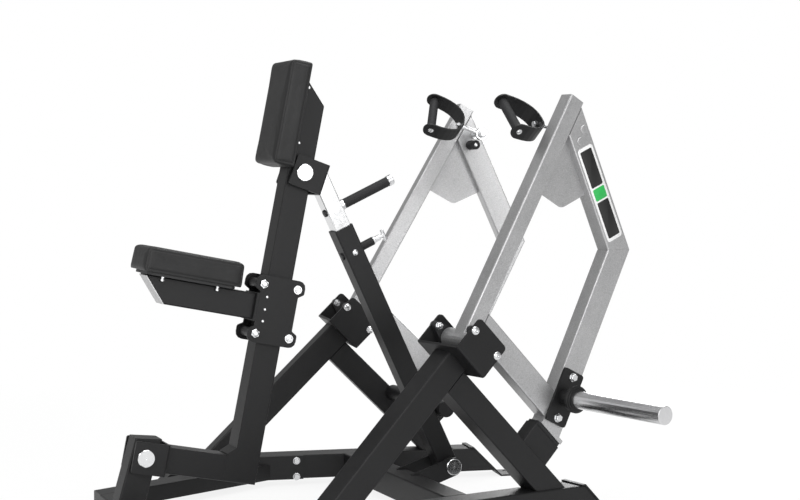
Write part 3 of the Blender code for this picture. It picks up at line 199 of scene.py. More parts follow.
for side_name, _ in SIDES:
    paint_nodes(
        black_coat,
        "rail_" + side_name, "diagonal_beam_" + side_name, "rear_leg_" + side_name,
        "front_leg_" + side_name, "pivot_bracket_" + side_name, "horn_mount_" + side_name,
        "handle_strap_" + side_name,
    )
paint_nodes(
    black_coat, "rear_foot_and_upright", "front_cross_beam", "foot_bar", "main_post", "short_arm",
    "carriage_frame", "seat_arm", "strut_outer", "upper_yoke",
)


# Silver powder coat on the lever arms.
# The two arms are narrower tube in a silver-grey powder with a metallic fleck, which sparkles a
# little in the grain. Their tubes are mitred, welded and ground before coating.

silver_coat = powder_coat(
    "silver powder coat", (0.34, 0.34, 0.343), (0.58, 0.58, 0.585), 0.31, 0.44, 0.5, 0.02, 0.0005, 400.0,
)
silver_coat.node_tree.nodes["Principled BSDF"].inputs["Metallic"].default_value = 0.82
for side_name, _ in SIDES:
    paint_nodes(
        silver_coat, "front_beam_" + side_name, "upper_beam_" + side_name,
        "lower_beam_" + side_name, "arm_brace_" + side_name,
    )


# Bright fasteners of the frame.
# Zinc-plated bolts and nuts: low domes on the outer cheeks of each arm bracket, with nuts on the
# bearings inside, and hexagon bolts on washers through the flanges that join diagonals to rails.

def make_wear_group():
    """Fine scratches and handling marks on bare metal, as a height and a mask."""
    group, start, end = node_group(
        "metal wear", {"Scale": 60.0}, {"Height": "NodeSocketFloat", "Marks": "NodeSocketFloat"},
    )
    where = group.nodes.new("ShaderNodeTexCoord").outputs["Object"]
    smear = noise_node(group, where, start.outputs["Scale"], 5.0, 0.7)
    fine = noise_node(group, where, 900.0, 2.0)
    marks = range_node(group, smear, 0.35, 0.75, 0.0, 1.0)
    group.links.new(fine, end.inputs["Height"])
    group.links.new(marks, end.inputs["Marks"])
    return group


metal_wear = make_wear_group()


def bright_metal(name, colour, rough_low, rough_high, depth=0.00008):
    surface, tree, shader = new_material(name)
    worn = group_node(tree, metal_wear)
    shade = tuple(value * 0.95 for value in colour)
    marks = worn.outputs["Marks"]
    tree.links.new(mix_colour(tree, marks, colour, shade), shader.inputs["Base Color"])
    tree.links.new(range_node(tree, marks, 0.0, 1.0, rough_low, rough_high), shader.inputs["Roughness"])
    shader.inputs["Metallic"].default_value = 1.0
    bump_from(tree, worn.outputs["Height"], shader, 0.2, depth)
    return surface


zinc = bright_metal("bright zinc", (0.70, 0.705, 0.715), 0.14, 0.28)
bright_plate = bright_metal("bright plate", (0.76, 0.765, 0.77), 0.10, 0.20)


def square_axes(direction):
    """Two directions square to this one and to each other."""
    direction = Vector(direction).normalized()
    other = Vector((0.0, 0.0, 1.0)) if abs(direction.z) < 0.9 else Vector((1.0, 0.0, 0.0))
    first = direction.cross(other).normalized()
    return first, direction.cross(first)


def lathe(body, profile, centre, direction, count=28, turn=0.0):
    """Adds a closed turned solid. The profile is (radius, distance along the direction) pairs."""
    direction = Vector(direction).normalized()
    first, second = square_axes(direction)
    rings = []
    for radius, reach in profile:
        middle = Vector(centre) + direction * reach
        ring = []
        for index in range(count):
            angle = turn + 2 * math.pi * index / count
            spoke = first * math.cos(angle) + second * math.sin(angle)
            ring.append(body.verts.new(middle + spoke * radius))
        rings.append(ring)
    faces = [body.faces.new(rings[0]), body.faces.new(list(reversed(rings[-1])))]
    for near, far in zip(rings, rings[1:]):
        for index in range(count):
            following = (index + 1) % count
            faces.append(body.faces.new((near[index], far[index], far[following], near[following])))
    bmesh.ops.recalc_face_normals(body, faces=faces)


def finish_piece(name, body, surface, rides, smooth=35.0):
    """Turns mesh data into a named piece that rides on a body of the frame."""
    mesh = bpy.data.meshes.new(name)
    body.to_mesh(mesh)
    body.free()
    mesh.shade_smooth()
    mesh.set_sharp_from_angle(angle=math.radians(smooth))
    solid = bpy.data.objects.new(name, mesh)
    bpy.context.scene.collection.objects.link(solid)
    mesh.materials.append(surface)
    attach(solid, rides)
    return solid


def dome_bolt(body, centre, direction, radius):
    """A round bolt head with a shallow drive recess."""
    lathe(body, [
        (radius, 0.0), (radius, radius * 0.20), (radius * 0.93, radius * 0.38),
        (radius * 0.74, radius * 0.56), (radius * 0.46, radius * 0.66), (radius * 0.40, radius * 0.66),
        (radius * 0.34, radius * 0.42),
    ], centre, direction)


def hexagon_head(body, centre, direction, across, height, washer=0.0, shank=0.0):
    """A hexagon head or nut, on a washer, with the end of its bolt if it is a nut."""
    rise = 0.0
    if washer > 0.0:
        rise = 0.002
        lathe(body, [(washer, 0.0), (washer, rise * 0.8), (washer - 0.0004, rise)], centre, direction)
    corner = across / 2 / math.cos(math.pi / 6)
    lathe(body, [
        (corner * 0.97, rise), (corner, rise + 0.0008), (corner, rise + height - 0.0012),
        (corner * 0.90, rise + height),
    ], centre, direction, 6, 0.3)
    lathe(body, [(across * 0.44, rise + height), (across * 0.42, rise + height + 0.0003)], centre, direction)
    if shank > 0.0:
        top = rise + height
        lathe(body, [(shank, top), (shank, top + 0.0035), (shank * 0.8, top + 0.0048)], centre, direction)


joints = {joint["name"]: joint for joint in frame["joints"]}
DOWN_FRONT = Vector((1.0, 0.0, -1.0)).normalized()
UP_FRONT = Vector((1.0, 0.0, 1.0)).normalized()
BRACKET_FACE = 0.0975
BEARING_FACE = 0.0752
BRACKET_BOLT_SPREAD = 0.051


def side_axes(side_name):
    """A side frame's forward and outward directions, and its pivot, from the arm's joint."""
    joint = joints["arm_" + side_name + "_swing"]
    across = Vector(joint["axis"]).normalized()
    hand = dict(SIDES)[side_name]
    outward = across * (-hand if across.y < 0 else hand)
    forward = Vector((abs(outward.y), -outward.x * (1 if outward.y > 0 else -1), 0.0))
    return forward, outward, Vector(joint["pos_m"])


def side_spot(side_name, forward_reach, out, height):
    forward, outward, hub = side_axes(side_name)
    return Vector((hub.x, hub.y, 0.0)) + forward * forward_reach + outward * out + Vector((0.0, 0.0, height))


def leg_spot(side_name, down_front, up_front, out):
    """A point near the arm pivot, measured down the front leg and up the rear leg."""
    reach = DOWN_FRONT * down_front + UP_FRONT * up_front
    hub = side_axes(side_name)[2]
    return side_spot(side_name, reach.x, out, hub.z + reach.z)


def make_bracket_bolts(side_name):
    _, outward, _ = side_axes(side_name)
    for cheek, hand in (("outer", 1.0), ("inner", -1.0)):
        body = bmesh.new()
        for spread in (-BRACKET_BOLT_SPREAD, BRACKET_BOLT_SPREAD):
            dome_bolt(body, leg_spot(side_name, spread, 0.0, hand * BRACKET_FACE), outward * hand, 0.0125)
            hexagon_head(
                body, leg_spot(side_name, spread, 0.0, hand * BEARING_FACE), -outward * hand, 0.017, 0.008,
                washer=0.0105, shank=0.005,
            )
        finish_piece("bracket_bolts_" + cheek + "_" + side_name, body, zinc, "base")


FLANGE_FACE = 0.0526
FLANGE_MIDDLE = -0.330
FLANGE_BOLT_SPREAD = 0.138
FLANGE_BOLT_LOW = 0.0284
FLANGE_BOLT_HIGH = 0.0787


def make_flange_bolts(side_name):
    _, outward, _ = side_axes(side_name)
    body = bmesh.new()
    for spread in (-FLANGE_BOLT_SPREAD, FLANGE_BOLT_SPREAD):
        for height in (FLANGE_BOLT_LOW, FLANGE_BOLT_HIGH):
            centre = side_spot(side_name, FLANGE_MIDDLE + spread, -FLANGE_FACE, height)
            hexagon_head(body, centre, -outward, 0.018, 0.0075, washer=0.0118)
    finish_piece("flange_bolts_" + side_name, body, zinc, "base")


for side_name, _ in SIDES:
    make_bracket_bolts(side_name)
    make_flange_bolts(side_name)
paint_nodes(bright_plate, "rear_axle", "upper_axle")


def make_axle_marks(node, name, rides):
    """The lathe's centre hole in both end caps of an axle."""
    low, high = (Vector(corner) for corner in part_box(node))
    middle = (low + high) / 2
    body = bmesh.new()
    for end, hand in ((low.y, -1.0), (high.y, 1.0)):
        lathe(body, [
            (0.0030, 0.0), (0.0030, 0.0002), (0.0022, 0.0003), (0.0014, 0.0001),
        ], Vector((middle.x, end, middle.z)), (0.0, hand, 0.0), 20)
    finish_piece(name, body, zinc, rides)


make_axle_marks("rear_axle", "rear_axle_centres", "cradle")
make_axle_marks("upper_axle", "upper_axle_centres", "cradle")
make_axle_marks("lower_axle", "lower_axle_centres", "base")
paint_nodes(zinc, "lower_axle", "strut_lock_pin")
for side_name, _ in SIDES:
    paint_nodes(zinc, "handle_stud_" + side_name, "handle_eye_" + side_name)


# Seat carriage fasteners.
# Four long bolts run through both plates and carry the rollers that hug the post. Hexagon nuts show
# on the seat's side and washers with the bolts' ends in front, with three small screws between.

post_up = Vector(joints["seat_height"]["axis"]).normalized()
post_front = Vector((post_up.z, 0.0, -post_up.x))
POST_FOOT_REACH = 0.299
post_foot = Vector(joints["cradle_tilt"]["pos_m"]) + post_front * POST_FOOT_REACH


def post_spot(across, y, up):
    """A point in the leaning post's own measures, from the foot of its middle line."""
    return post_foot + post_front * across + Vector((0.0, y, 0.0)) + post_up * up


CARRIAGE_FACE = 0.0540
ROLLER_ACROSS = 0.0519
CARRIAGE_MIDDLE = 0.462
ROLLER_RISE = 0.071


def make_carriage_bolts(name, hand):
    body = bmesh.new()
    direction = Vector((0.0, hand, 0.0))
    for rise in (-ROLLER_RISE, ROLLER_RISE):
        rear = post_spot(-ROLLER_ACROSS, hand * CARRIAGE_FACE, CARRIAGE_MIDDLE + rise)
        hexagon_head(body, rear, direction, 0.0225, 0.007, shank=0.0062)
        front = post_spot(ROLLER_ACROSS, hand * CARRIAGE_FACE, CARRIAGE_MIDDLE + rise)
        lathe(body, [(0.0125, 0.0), (0.0125, 0.002), (0.0120, 0.0024)], front, direction)
        lathe(body, [
            (0.0085, 0.0024), (0.0085, 0.0055), (0.0070, 0.0070), (0.0060, 0.0070),
        ], front, direction)
        lathe(body, [(0.0048, 0.0070), (0.0048, 0.0095), (0.0038, 0.0102)], front, direction)
    finish_piece("carriage_bolts_" + name, body, zinc, "carriage")


for side_name, hand in SIDES:
    make_carriage_bolts(side_name, hand)

screws = bmesh.new()
SCREW_COLUMN = -0.035
for screw_up in (0.428, 0.462, 0.498):
    dome_bolt(screws, post_spot(SCREW_COLUMN, -CARRIAGE_FACE, screw_up), (0.0, -1.0, 0.0), 0.0042)
finish_piece("carriage_screws", screws, zinc, "carriage")


# Rubber and plastic parts.
# Moulded rubber feet, stops, bumpers and grips are soft black with a dry bloom. The two-bolt arm
# bearings and the boards under the cushions are a harder black plastic with a fine spark grain.

def moulded_black(name, dark, light, rough_low, rough_high, specular, grain, depth):
    surface, tree, shader = new_material(name)
    skin = group_node(tree, grit, Grain_Scale=grain, Dust=0.05)
    tone = range_node(tree, skin.outputs["Tone"], -0.5, 0.5, 0.0, 1.0)
    tree.links.new(mix_colour(tree, tone, dark, light), shader.inputs["Base Color"])
    tree.links.new(range_node(tree, tone, 0.0, 1.0, rough_low, rough_high), shader.inputs["Roughness"])
    shader.inputs["Specular IOR Level"].default_value = specular
    bump_from(tree, skin.outputs["Height"], shader, 0.3, depth)
    return surface


rubber = moulded_black(
    "black rubber", (0.010, 0.010, 0.011), (0.020, 0.020, 0.021), 0.62, 0.80, 0.35, 420.0, 0.0003,
)
plastic = moulded_black(
    "black plastic", (0.012, 0.012, 0.013), (0.019, 0.019, 0.020), 0.40, 0.52, 0.40, 950.0, 0.0002,
)
for side_name, _ in SIDES:
    paint_nodes(
        rubber, "rubber_foot_" + side_name, "stop_pad_" + side_name,
        "handle_bumper_" + side_name, "handle_grip_" + side_name,
    )
    paint_nodes(plastic, "arm_bearing_outer_" + side_name, "arm_bearing_inner_" + side_name)
paint_nodes(plastic, "chest_board", "seat_board", "seat_lock_pin")


# Post and seat arm trim.
# Two small screws fix the chest pad's board from the post's near face, and two short bolts stand
# between the seat's board and its arm. A ground silver cap closes the arm's slanted end.

screws = bmesh.new()
POST_FACE = 0.0375
for screw_up in (0.948, 1.109):
    dome_bolt(screws, post_spot(-POST_FACE + 0.0190, -POST_FACE, screw_up), (0.0, -1.0, 0.0), 0.0042)
finish_piece("chest_board_screws", screws, zinc, "cradle")


def face_prism(body, outline, low, high):
    """Adds a solid between two planes square to Y, from an outline of world points with y left out."""
    rings = []
    for y in (low, high):
        rings.append([body.verts.new((x, y, z)) for x, z in outline])
    faces = [body.faces.new(rings[0]), body.faces.new(list(reversed(rings[1])))]
    for index in range(len(outline)):
        following = (index + 1) % len(outline)
        faces.append(body.faces.new((
            rings[0][index], rings[1][index], rings[1][following], rings[0][following],
        )))
    bmesh.ops.recalc_face_normals(body, faces=faces)


SEAT_ARM_TOP_END = (-0.387, 0.503)
SEAT_ARM_LOW_END = (-0.324, 0.428)
END_CAP = 0.0022


def make_seat_arm_cap():
    top = post_spot(SEAT_ARM_TOP_END[0], 0.0, SEAT_ARM_TOP_END[1] - 0.003)
    low = post_spot(SEAT_ARM_LOW_END[0], 0.0, SEAT_ARM_LOW_END[1] + 0.001)
    run = (top - low).normalized()
    outward = Vector((-run.z, 0.0, run.x))
    if outward.dot(post_front) > 0.0:
        outward = -outward
    near, far = 0.0002, 0.0002 + END_CAP
    corners = [top + outward * near, low + outward * near, low + outward * far, top + outward * far]
    body = bmesh.new()
    face_prism(body, [(spot.x, spot.z) for spot in corners], -POST_FACE, POST_FACE)
    finish_piece("seat_arm_cap", body, silver_coat, "carriage")


make_seat_arm_cap()
seat_bolts = bmesh.new()
for bolt_across in (-0.343, -0.182):
    lathe(seat_bolts, [
        (0.0056, 0.0), (0.0056, 0.0035), (0.0042, 0.0038), (0.0042, 0.0070), (0.0058, 0.0074),
        (0.0058, 0.0125), (0.0046, 0.0135),
    ], post_spot(bolt_across, -0.0440, 0.5032), -post_up)
finish_piece("seat_board_bolts", seat_bolts, zinc, "carriage")


# Chest and seat cushions.
# Moulded foam on a board, covered in soft black vinyl with a fine grain. Each side panel is sewn in
# behind a rolled edge, which leaves a narrow crease all round it, and the cover is stapled below.

def make_vinyl():
    surface, tree, shader = new_material("black vinyl")
    where = tree.nodes.new("ShaderNodeTexCoord").outputs["Object"]
    cells = tree.nodes.new("ShaderNodeTexVoronoi")
    cells.feature = "DISTANCE_TO_EDGE"
    cells.inputs["Scale"].default_value = 620.0
    cells.inputs["Randomness"].default_value = 1.0
    tree.links.new(where, cells.inputs["Vector"])
    grain = range_node(tree, cells.outputs["Distance"], 0.0, 0.22, 0.0, 1.0)
    slow = range_node(tree, noise_node(tree, where, 14.0, 3.0), 0.3, 0.7, 0.0, 1.0)
    grain_share = math_node(tree, "MULTIPLY", grain, 0.7)
    slow_share = math_node(tree, "MULTIPLY", slow, 0.3)
    soft = math_node(tree, "ADD", grain_share, slow_share)
    dye = mix_colour(tree, soft, (0.010, 0.010, 0.0103), (0.019, 0.019, 0.0193))
    tree.links.new(dye, shader.inputs["Base Color"])
    tree.links.new(range_node(tree, soft, 0.0, 1.0, 0.58, 0.44), shader.inputs["Roughness"])
    shader.inputs["Specular IOR Level"].default_value = 0.32
    wrinkles = noise_node(tree, where, 34.0, 4.0, 0.55)
    height = math_node(tree, "ADD", grain, math_node(tree, "MULTIPLY", wrinkles, 0.6))
    bump_from(tree, height, shader, 0.25, 0.0003)
    return surface


vinyl = make_vinyl()
PAD_WIDTH = 0.175
PAD_EDGE = 0.0115            # rolled edge of the cover
FOAM_GRID = 0.005
SWELL_FRAMES = 20
SWELL_PRESSURE = 4.0
SWELL_CAP = 0.0018           # no point of the cover moves further than this
HELD_HEIGHT = 0.004          # the cover is stapled below this height
SEAM_INSET = 0.0105
SEAM_DEPTH = 0.0030
SEAM_WIDTH = 0.0026


def baked(solid):
    """The mesh of an object after its modifiers, as a new mesh, with the modifiers gone."""
    graph = bpy.context.evaluated_depsgraph_get()
    mesh = bpy.data.meshes.new_from_object(solid.evaluated_get(graph))
    old = solid.data
    solid.modifiers.clear()
    solid.data = mesh
    bpy.data.meshes.remove(old)


def pad_blank(name, size, sole):
    """A rounded block, a little small. X runs along the pad, Y across it, and Z away from its board."""
    body = bmesh.new()
    bmesh.ops.create_cube(body, size=1.0)
    shrink = 0.0015
    length, width, thick = size
    bmesh.ops.scale(body, verts=body.verts, vec=(length - 2 * shrink, width - 2 * shrink, thick - shrink))
    bmesh.ops.translate(body, verts=body.verts, vec=(0.0, 0.0, (thick - shrink) / 2))
    crown = [edge for edge in body.edges if sum(vert.co.z for vert in edge.verts) > sole]
    bmesh.ops.bevel(
        body, geom=crown, offset=PAD_EDGE, segments=5, profile=0.5, affect="EDGES", clamp_overlap=True,
    )
    mesh = bpy.data.meshes.new(name)
    body.to_mesh(mesh)
    body.free()
    pad = bpy.data.objects.new(name, mesh)
    bpy.context.scene.collection.objects.link(pad)
    grid = pad.modifiers.new("grid", "REMESH")
    grid.mode = "VOXEL"
    grid.voxel_size = FOAM_GRID
    baked(pad)
    return pad


def inflate(pad):
    """Swells the foam with cloth pressure, up to the cap. The sole stays flat."""
    rest = [vert.co.copy() for vert in pad.data.vertices]
    held = pad.vertex_groups.new(name="held")
    held.add([index for index, spot in enumerate(rest) if spot.z < HELD_HEIGHT], 1.0, "REPLACE")
    cloth = pad.modifiers.new("cloth", "CLOTH")
    cloth.settings.use_pressure = True
    cloth.settings.uniform_pressure_force = SWELL_PRESSURE
    cloth.settings.effector_weights.gravity = 0.0
    cloth.settings.vertex_group_mass = "held"
    cloth.settings.quality = 6
    cloth.point_cache.frame_start = 1
    cloth.point_cache.frame_end = SWELL_FRAMES
    for moment in range(1, SWELL_FRAMES + 1):
        bpy.context.scene.frame_set(moment)
    baked(pad)
    for vert, start in zip(pad.data.vertices, rest):
        moved = vert.co - start
        if moved.length > SWELL_CAP:
            vert.co = start + moved * (SWELL_CAP / moved.length)
    bpy.context.scene.frame_set(1)


def sew_side_panels(pad, length, thick):
    """Presses the crease of the sewn side panels into both long sides."""
    pad.data.update()
    for vert in pad.data.vertices:
        side = min(1.0, max(0.0, (abs(vert.normal.y) - 0.55) / 0.3))
        if side == 0.0:
            continue
        border = min(length / 2 - abs(vert.co.x), thick - vert.co.z, vert.co.z + 0.004)
        groove = math.exp(-((border - SEAM_INSET) / SEAM_WIDTH) ** 2)
        inner = min(1.0, max(0.0, (border - SEAM_INSET) / 0.004))
        vert.co.y -= math.copysign(side * (SEAM_DEPTH * groove + 0.0006 * inner), vert.co.y)


def make_cushion(name, size, frame_axes, place, node, rides, skirt=0.0, board=None):
    length, _, thick = size
    pad = pad_blank(name, size, thick * 0.6)
    smooth = pad.modifiers.new("smooth", "SMOOTH")
    smooth.factor = 0.5
    smooth.iterations = 2
    baked(pad)
    inflate(pad)
    round_off = pad.modifiers.new("round", "SUBSURF")
    round_off.levels = 1
    round_off.render_levels = 1
    baked(pad)
    sew_side_panels(pad, length, thick)
    if skirt > 0.0:
        for vert in pad.data.vertices:
            if vert.co.z < skirt and abs(vert.co.x) < board[0] / 2 and abs(vert.co.y) < board[1] / 2:
                vert.co.z = skirt
    turn = Matrix.Identity(4)
    for column, axis in enumerate(frame_axes):
        turn.col[column][:3] = axis
    turn.translation = place
    pad.data.transform(turn)
    pad.data.materials.clear()
    pad.data.materials.append(vinyl)
    pad.data.shade_smooth()
    pad.data.name = name
    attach(pad, rides)
    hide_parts(node)


side_to_side = Vector((0.0, 1.0, 0.0))
make_cushion(
    "seat_cushion", (0.289, PAD_WIDTH, 0.070), (post_front, side_to_side, post_up),
    post_spot(-0.2655, 0.0, 0.5116), "seat_pad", "carriage",
)
make_cushion(
    "chest_cushion", (0.304, PAD_WIDTH + 0.015, 0.0652), (post_up, side_to_side, -post_front),
    post_spot(-0.0381, 0.0, 1.024), "chest_pad", "cradle", skirt=0.0086, board=(0.278, 0.150),
)


# Telescopic strut.
# A plated inner tube slides in the coated outer one. A pull handle with a rubber sleeve between two
# chrome rings is bolted through the inner tube, and moulded plugs close the bolt holes behind.

strut_foot = Vector(joints["strut_swing"]["pos_m"])
strut_up = Vector(joints["strut_slide"]["axis"]).normalized()
strut_out = Vector((strut_up.z, 0.0, -strut_up.x))


def strut_spot(out, y, up):
    return strut_foot + strut_out * out + Vector((0.0, y, 0.0)) + strut_up * up


STRUT_GRIP_UP = 0.853
STRUT_GRIP_START = 0.0253
STRUT_GRIP_END = 0.2083


def make_strut_grip():
    start, end = STRUT_GRIP_START, STRUT_GRIP_END
    rings = bmesh.new()
    for low, high in ((start, start + 0.013), (end - 0.017, end)):
        lathe(rings, [
            (0.0146, low), (0.0160, low + 0.0012), (0.0160, high - 0.0014), (0.0148, high),
        ], strut_spot(0.0, 0.0, STRUT_GRIP_UP), strut_out, 36)
    lathe(rings, [
        (0.0070, end), (0.0068, end + 0.0006),
    ], strut_spot(0.0, 0.0, STRUT_GRIP_UP), strut_out)
    chrome_rings = finish_piece("strut_grip_rings", rings, zinc, "strut_inner")
    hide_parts("strut_grip")
    profile = [(0.0145, start + 0.0131), (0.0145, start + 0.0180)]
    ribs = 26
    step = (end - start - 0.041) / ribs
    for index in range(ribs):
        low = start + 0.0200 + index * step
        profile += [
            (0.0143, low), (0.0147, low + step * 0.3), (0.0147, low + step * 0.7), (0.0143, low + step),
        ]
    profile += [(0.0145, end - 0.0190), (0.0145, end - 0.0171)]
    sleeve = bmesh.new()
    lathe(sleeve, profile, strut_spot(0.0, 0.0, STRUT_GRIP_UP), strut_out, 36)
    rubber_sleeve = finish_piece("strut_grip_sleeve", sleeve, rubber, "strut_inner")
    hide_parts("strut_grip")


LOCK_PIN_UP = 0.715
STRUT_HALF = 0.030
INNER_HALF = 0.025
PLUG = [(0.0110, 0.0), (0.0110, 0.0030), (0.0098, 0.0046), (0.0050, 0.0056)]


def make_strut_plugs():
    plug = bmesh.new()
    lathe(plug, PLUG, strut_spot(-STRUT_HALF, 0.0, LOCK_PIN_UP), -strut_out)
    finish_piece("strut_outer_plug", plug, plastic, "strut_outer")
    plug = bmesh.new()
    lathe(plug, PLUG, strut_spot(-INNER_HALF, 0.0, STRUT_GRIP_UP), -strut_out)
    finish_piece("strut_inner_plug", plug, plastic, "strut_inner")
    screws = bmesh.new()
    for hand in (-1.0, 1.0):
        dome_bolt(screws, strut_spot(0.0, hand * STRUT_HALF, LOCK_PIN_UP), (0.0, hand, 0.0), 0.0095)
    finish_piece("strut_guide_screws", screws, zinc, "strut_outer")


paint_nodes(bright_plate, "strut_inner")
make_strut_grip()
make_strut_plugs()


# Weight horns.
# Each horn is a turned steel sleeve with a fine circular brush, over a spigot on a coated flange.
# Two hexagon bolts on washers hold the flange to the arm's lower beam.

def make_brushed_steel():
    surface, tree, shader = new_material("brushed steel")
    where = tree.nodes.new("ShaderNodeTexCoord").outputs["Object"]
    stretch = tree.nodes.new("ShaderNodeMapping")
    stretch.inputs["Scale"].default_value = (6.0, 260.0, 6.0)
    tree.links.new(where, stretch.inputs["Vector"])
    brush = noise_node(tree, stretch.outputs["Vector"], 1.0, 3.0, 0.6)
    worn = group_node(tree, metal_wear, Scale=22.0)
    steel = mix_colour(tree, worn.outputs["Marks"], (0.72, 0.72, 0.73), (0.66, 0.66, 0.67))
    tree.links.new(steel, shader.inputs["Base Color"])
    tree.links.new(range_node(tree, brush, 0.3, 0.7, 0.20, 0.27), shader.inputs["Roughness"])
    shader.inputs["Metallic"].default_value = 1.0
    bump_from(tree, brush, shader, 0.06, 0.0001)
    return surface


brushed_steel = make_brushed_steel()
HORN_BOLT_REACH = 0.062
HORN_FACE = 0.0333
HORN_DROP = 0.463            # flange's middle, down the lower beam from the knee
HORN_BACK = 0.025            # lower beam's inner face
KNEE_FORWARD = 0.5309        # the arm's knee, from its pivot
KNEE_UP = 0.2363
LOWER_BEAM_LEAN = math.radians(26.2)


def make_horn_bolts(side_name):
    forward, outward, hub = side_axes(side_name)
    body = bmesh.new()
    down = forward * -math.sin(LOWER_BEAM_LEAN) + Vector((0.0, 0.0, -math.cos(LOWER_BEAM_LEAN)))
    centre = hub + forward * KNEE_FORWARD + Vector((0.0, 0.0, KNEE_UP)) + down * HORN_DROP
    for reach in (-HORN_BOLT_REACH, HORN_BOLT_REACH):
        spot = centre + down * reach
        hexagon_head(body, spot + outward * HORN_FACE, outward, 0.019, 0.0085, washer=0.0125)
        hexagon_head(body, spot - outward * HORN_BACK, -outward, 0.019, 0.0095, washer=0.0125, shank=0.0055)
    finish_piece("horn_bolts_" + side_name, body, zinc, "arm_" + side_name)


for side_name, _ in SIDES:
    paint_nodes(brushed_steel, "horn_sleeve_" + side_name)
    make_horn_bolts(side_name)


# Handles.
# A bent steel strap swivels on an eye bolt's stem. Its ends hold a rubber roller on a bolt with low
# heads, a lock nut sits inside the nose, and a screw keeps the bumper on the arm.

GRIP_BOLT_REACH = 0.0725
BUMPER_SCREW_AT = (0.3850, -0.0910, 1.0802)      # forward, out and up in the side frame


def make_handle_trim(side_name):
    spin = joints["grip_" + side_name + "_spin"]
    axis = Vector(spin["axis"]).normalized()
    body = bmesh.new()
    for hand in (-1.0, 1.0):
        lathe(body, [
            (0.0085, 0.0), (0.0085, 0.0006), (0.0060, 0.0012), (0.0056, 0.0014), (0.0050, 0.0026),
            (0.0030, 0.0032),
        ], Vector(spin["pos_m"]) + axis * (hand * GRIP_BOLT_REACH), axis * hand)
    finish_piece("handle_bolts_" + side_name, body, zinc, "handle_" + side_name)
    _, outward, _ = side_axes(side_name)
    screw = bmesh.new()
    dome_bolt(screw, side_spot(side_name, *BUMPER_SCREW_AT), -outward, 0.0062)
    finish_piece("bumper_screw_" + side_name, screw, zinc, "arm_" + side_name)


for side_name, _ in SIDES:
    make_handle_trim(side_name)


# Plain label on the near arm.
# A vinyl sticker with rounded corners lies flat on the outer face of the near arm's upper beam. It is
# white, with three plain bars, two black and one green, and stands a hair proud of the coating.

def label_material(name, colour):
    surface, tree, shader = new_material(name)
    where = tree.nodes.new("ShaderNodeTexCoord").outputs["Object"]
    print_grain = range_node(tree, noise_node(tree, where, 320.0, 2.0), 0.3, 0.7, 0.0, 1.0)
    shade = tuple(value * 0.90 for value in colour)
    tree.links.new(mix_colour(tree, print_grain, shade, colour), shader.inputs["Base Color"])
    tree.links.new(range_node(tree, print_grain, 0.0, 1.0, 0.34, 0.44), shader.inputs["Roughness"])
    return surface


def label_plate(name, surface, middle, along_beam, across_beam, outward, size, corner, low, high):
    """A thin plate with rounded corners, flat on the beam."""
    half_long, half_wide = size[0] / 2, size[1] / 2
    body = bmesh.new()
    rings = []
    for reach, inset in ((low, 0.0), (high - 0.0001, 0.0), (high, 0.0002)):
        ring = []
        for index, (side_x, side_y) in enumerate(((1, 1), (-1, 1), (-1, -1), (1, -1))):
            for step in range(7):
                angle = math.pi / 2 * (index + step / 6)
                u = side_x * (half_long - corner) + (corner - inset) * math.cos(angle)
                v = side_y * (half_wide - corner) + (corner - inset) * math.sin(angle)
                ring.append(body.verts.new(middle + along_beam * u + across_beam * v + outward * reach))
        rings.append(ring)
    body.faces.new(rings[0])
    body.faces.new(list(reversed(rings[-1])))
    count = len(rings[0])
    for near, far in zip(rings, rings[1:]):
        for index in range(count):
            following = (index + 1) % count
            body.faces.new((near[index], far[index], far[following], near[following]))
    bmesh.ops.recalc_face_normals(body, faces=body.faces)
    return finish_piece(name, body, surface, "arm_right")


UPPER_BEAM_LEAN = math.radians(24.0)


def make_label():
    forward, outward, hub = side_axes("right")
    lean = UPPER_BEAM_LEAN
    level = Vector((0.0, 0.0, 1.0))
    knee = hub + forward * KNEE_FORWARD + level * KNEE_UP
    up_beam = forward * -math.sin(lean) + level * math.cos(lean)
    across_beam = forward * math.cos(lean) + level * math.sin(lean)
    middle = knee + up_beam * 0.180 + outward * 0.0250
    white = label_material("label white", (0.80, 0.80, 0.80))
    black = label_material("label black", (0.005, 0.005, 0.005))
    green = label_material("label green", (0.020, 0.42, 0.080))
    label_plate("label", white, middle, up_beam, across_beam, outward, (0.290, 0.058), 0.010, 0.0001, 0.0004)
    bars = ((0.079, 0.112, black), (0.000, 0.036, green), (-0.079, 0.112, black))
    for index, (reach, length, ink) in enumerate(bars):
        label_plate(
            "label_bar_%d" % index, ink, middle + up_beam * reach, up_beam, across_beam, outward,
            (length, 0.044), 0.004, 0.0004, 0.0006,
        )


make_label()


# Floor, light and camera.
# A white sweep stands in for the photographer's table. Large soft lamps light the machine from the
# left and above, and the camera stands where the photograph was taken from.

def seen_plainly(tree, mirrored):
    """Is 1 for what the camera sees straight or through glass, and this share in reflections."""
    path = tree.nodes.new("ShaderNodeLightPath")
    direct = math_node(tree, "MAXIMUM", path.outputs["Is Camera Ray"], path.outputs["Is Transmission Ray"])
    reflected = math_node(tree, "MULTIPLY", path.outputs["Is Glossy Ray"], mirrored)
    return math_node(tree, "MAXIMUM", direct, reflected)


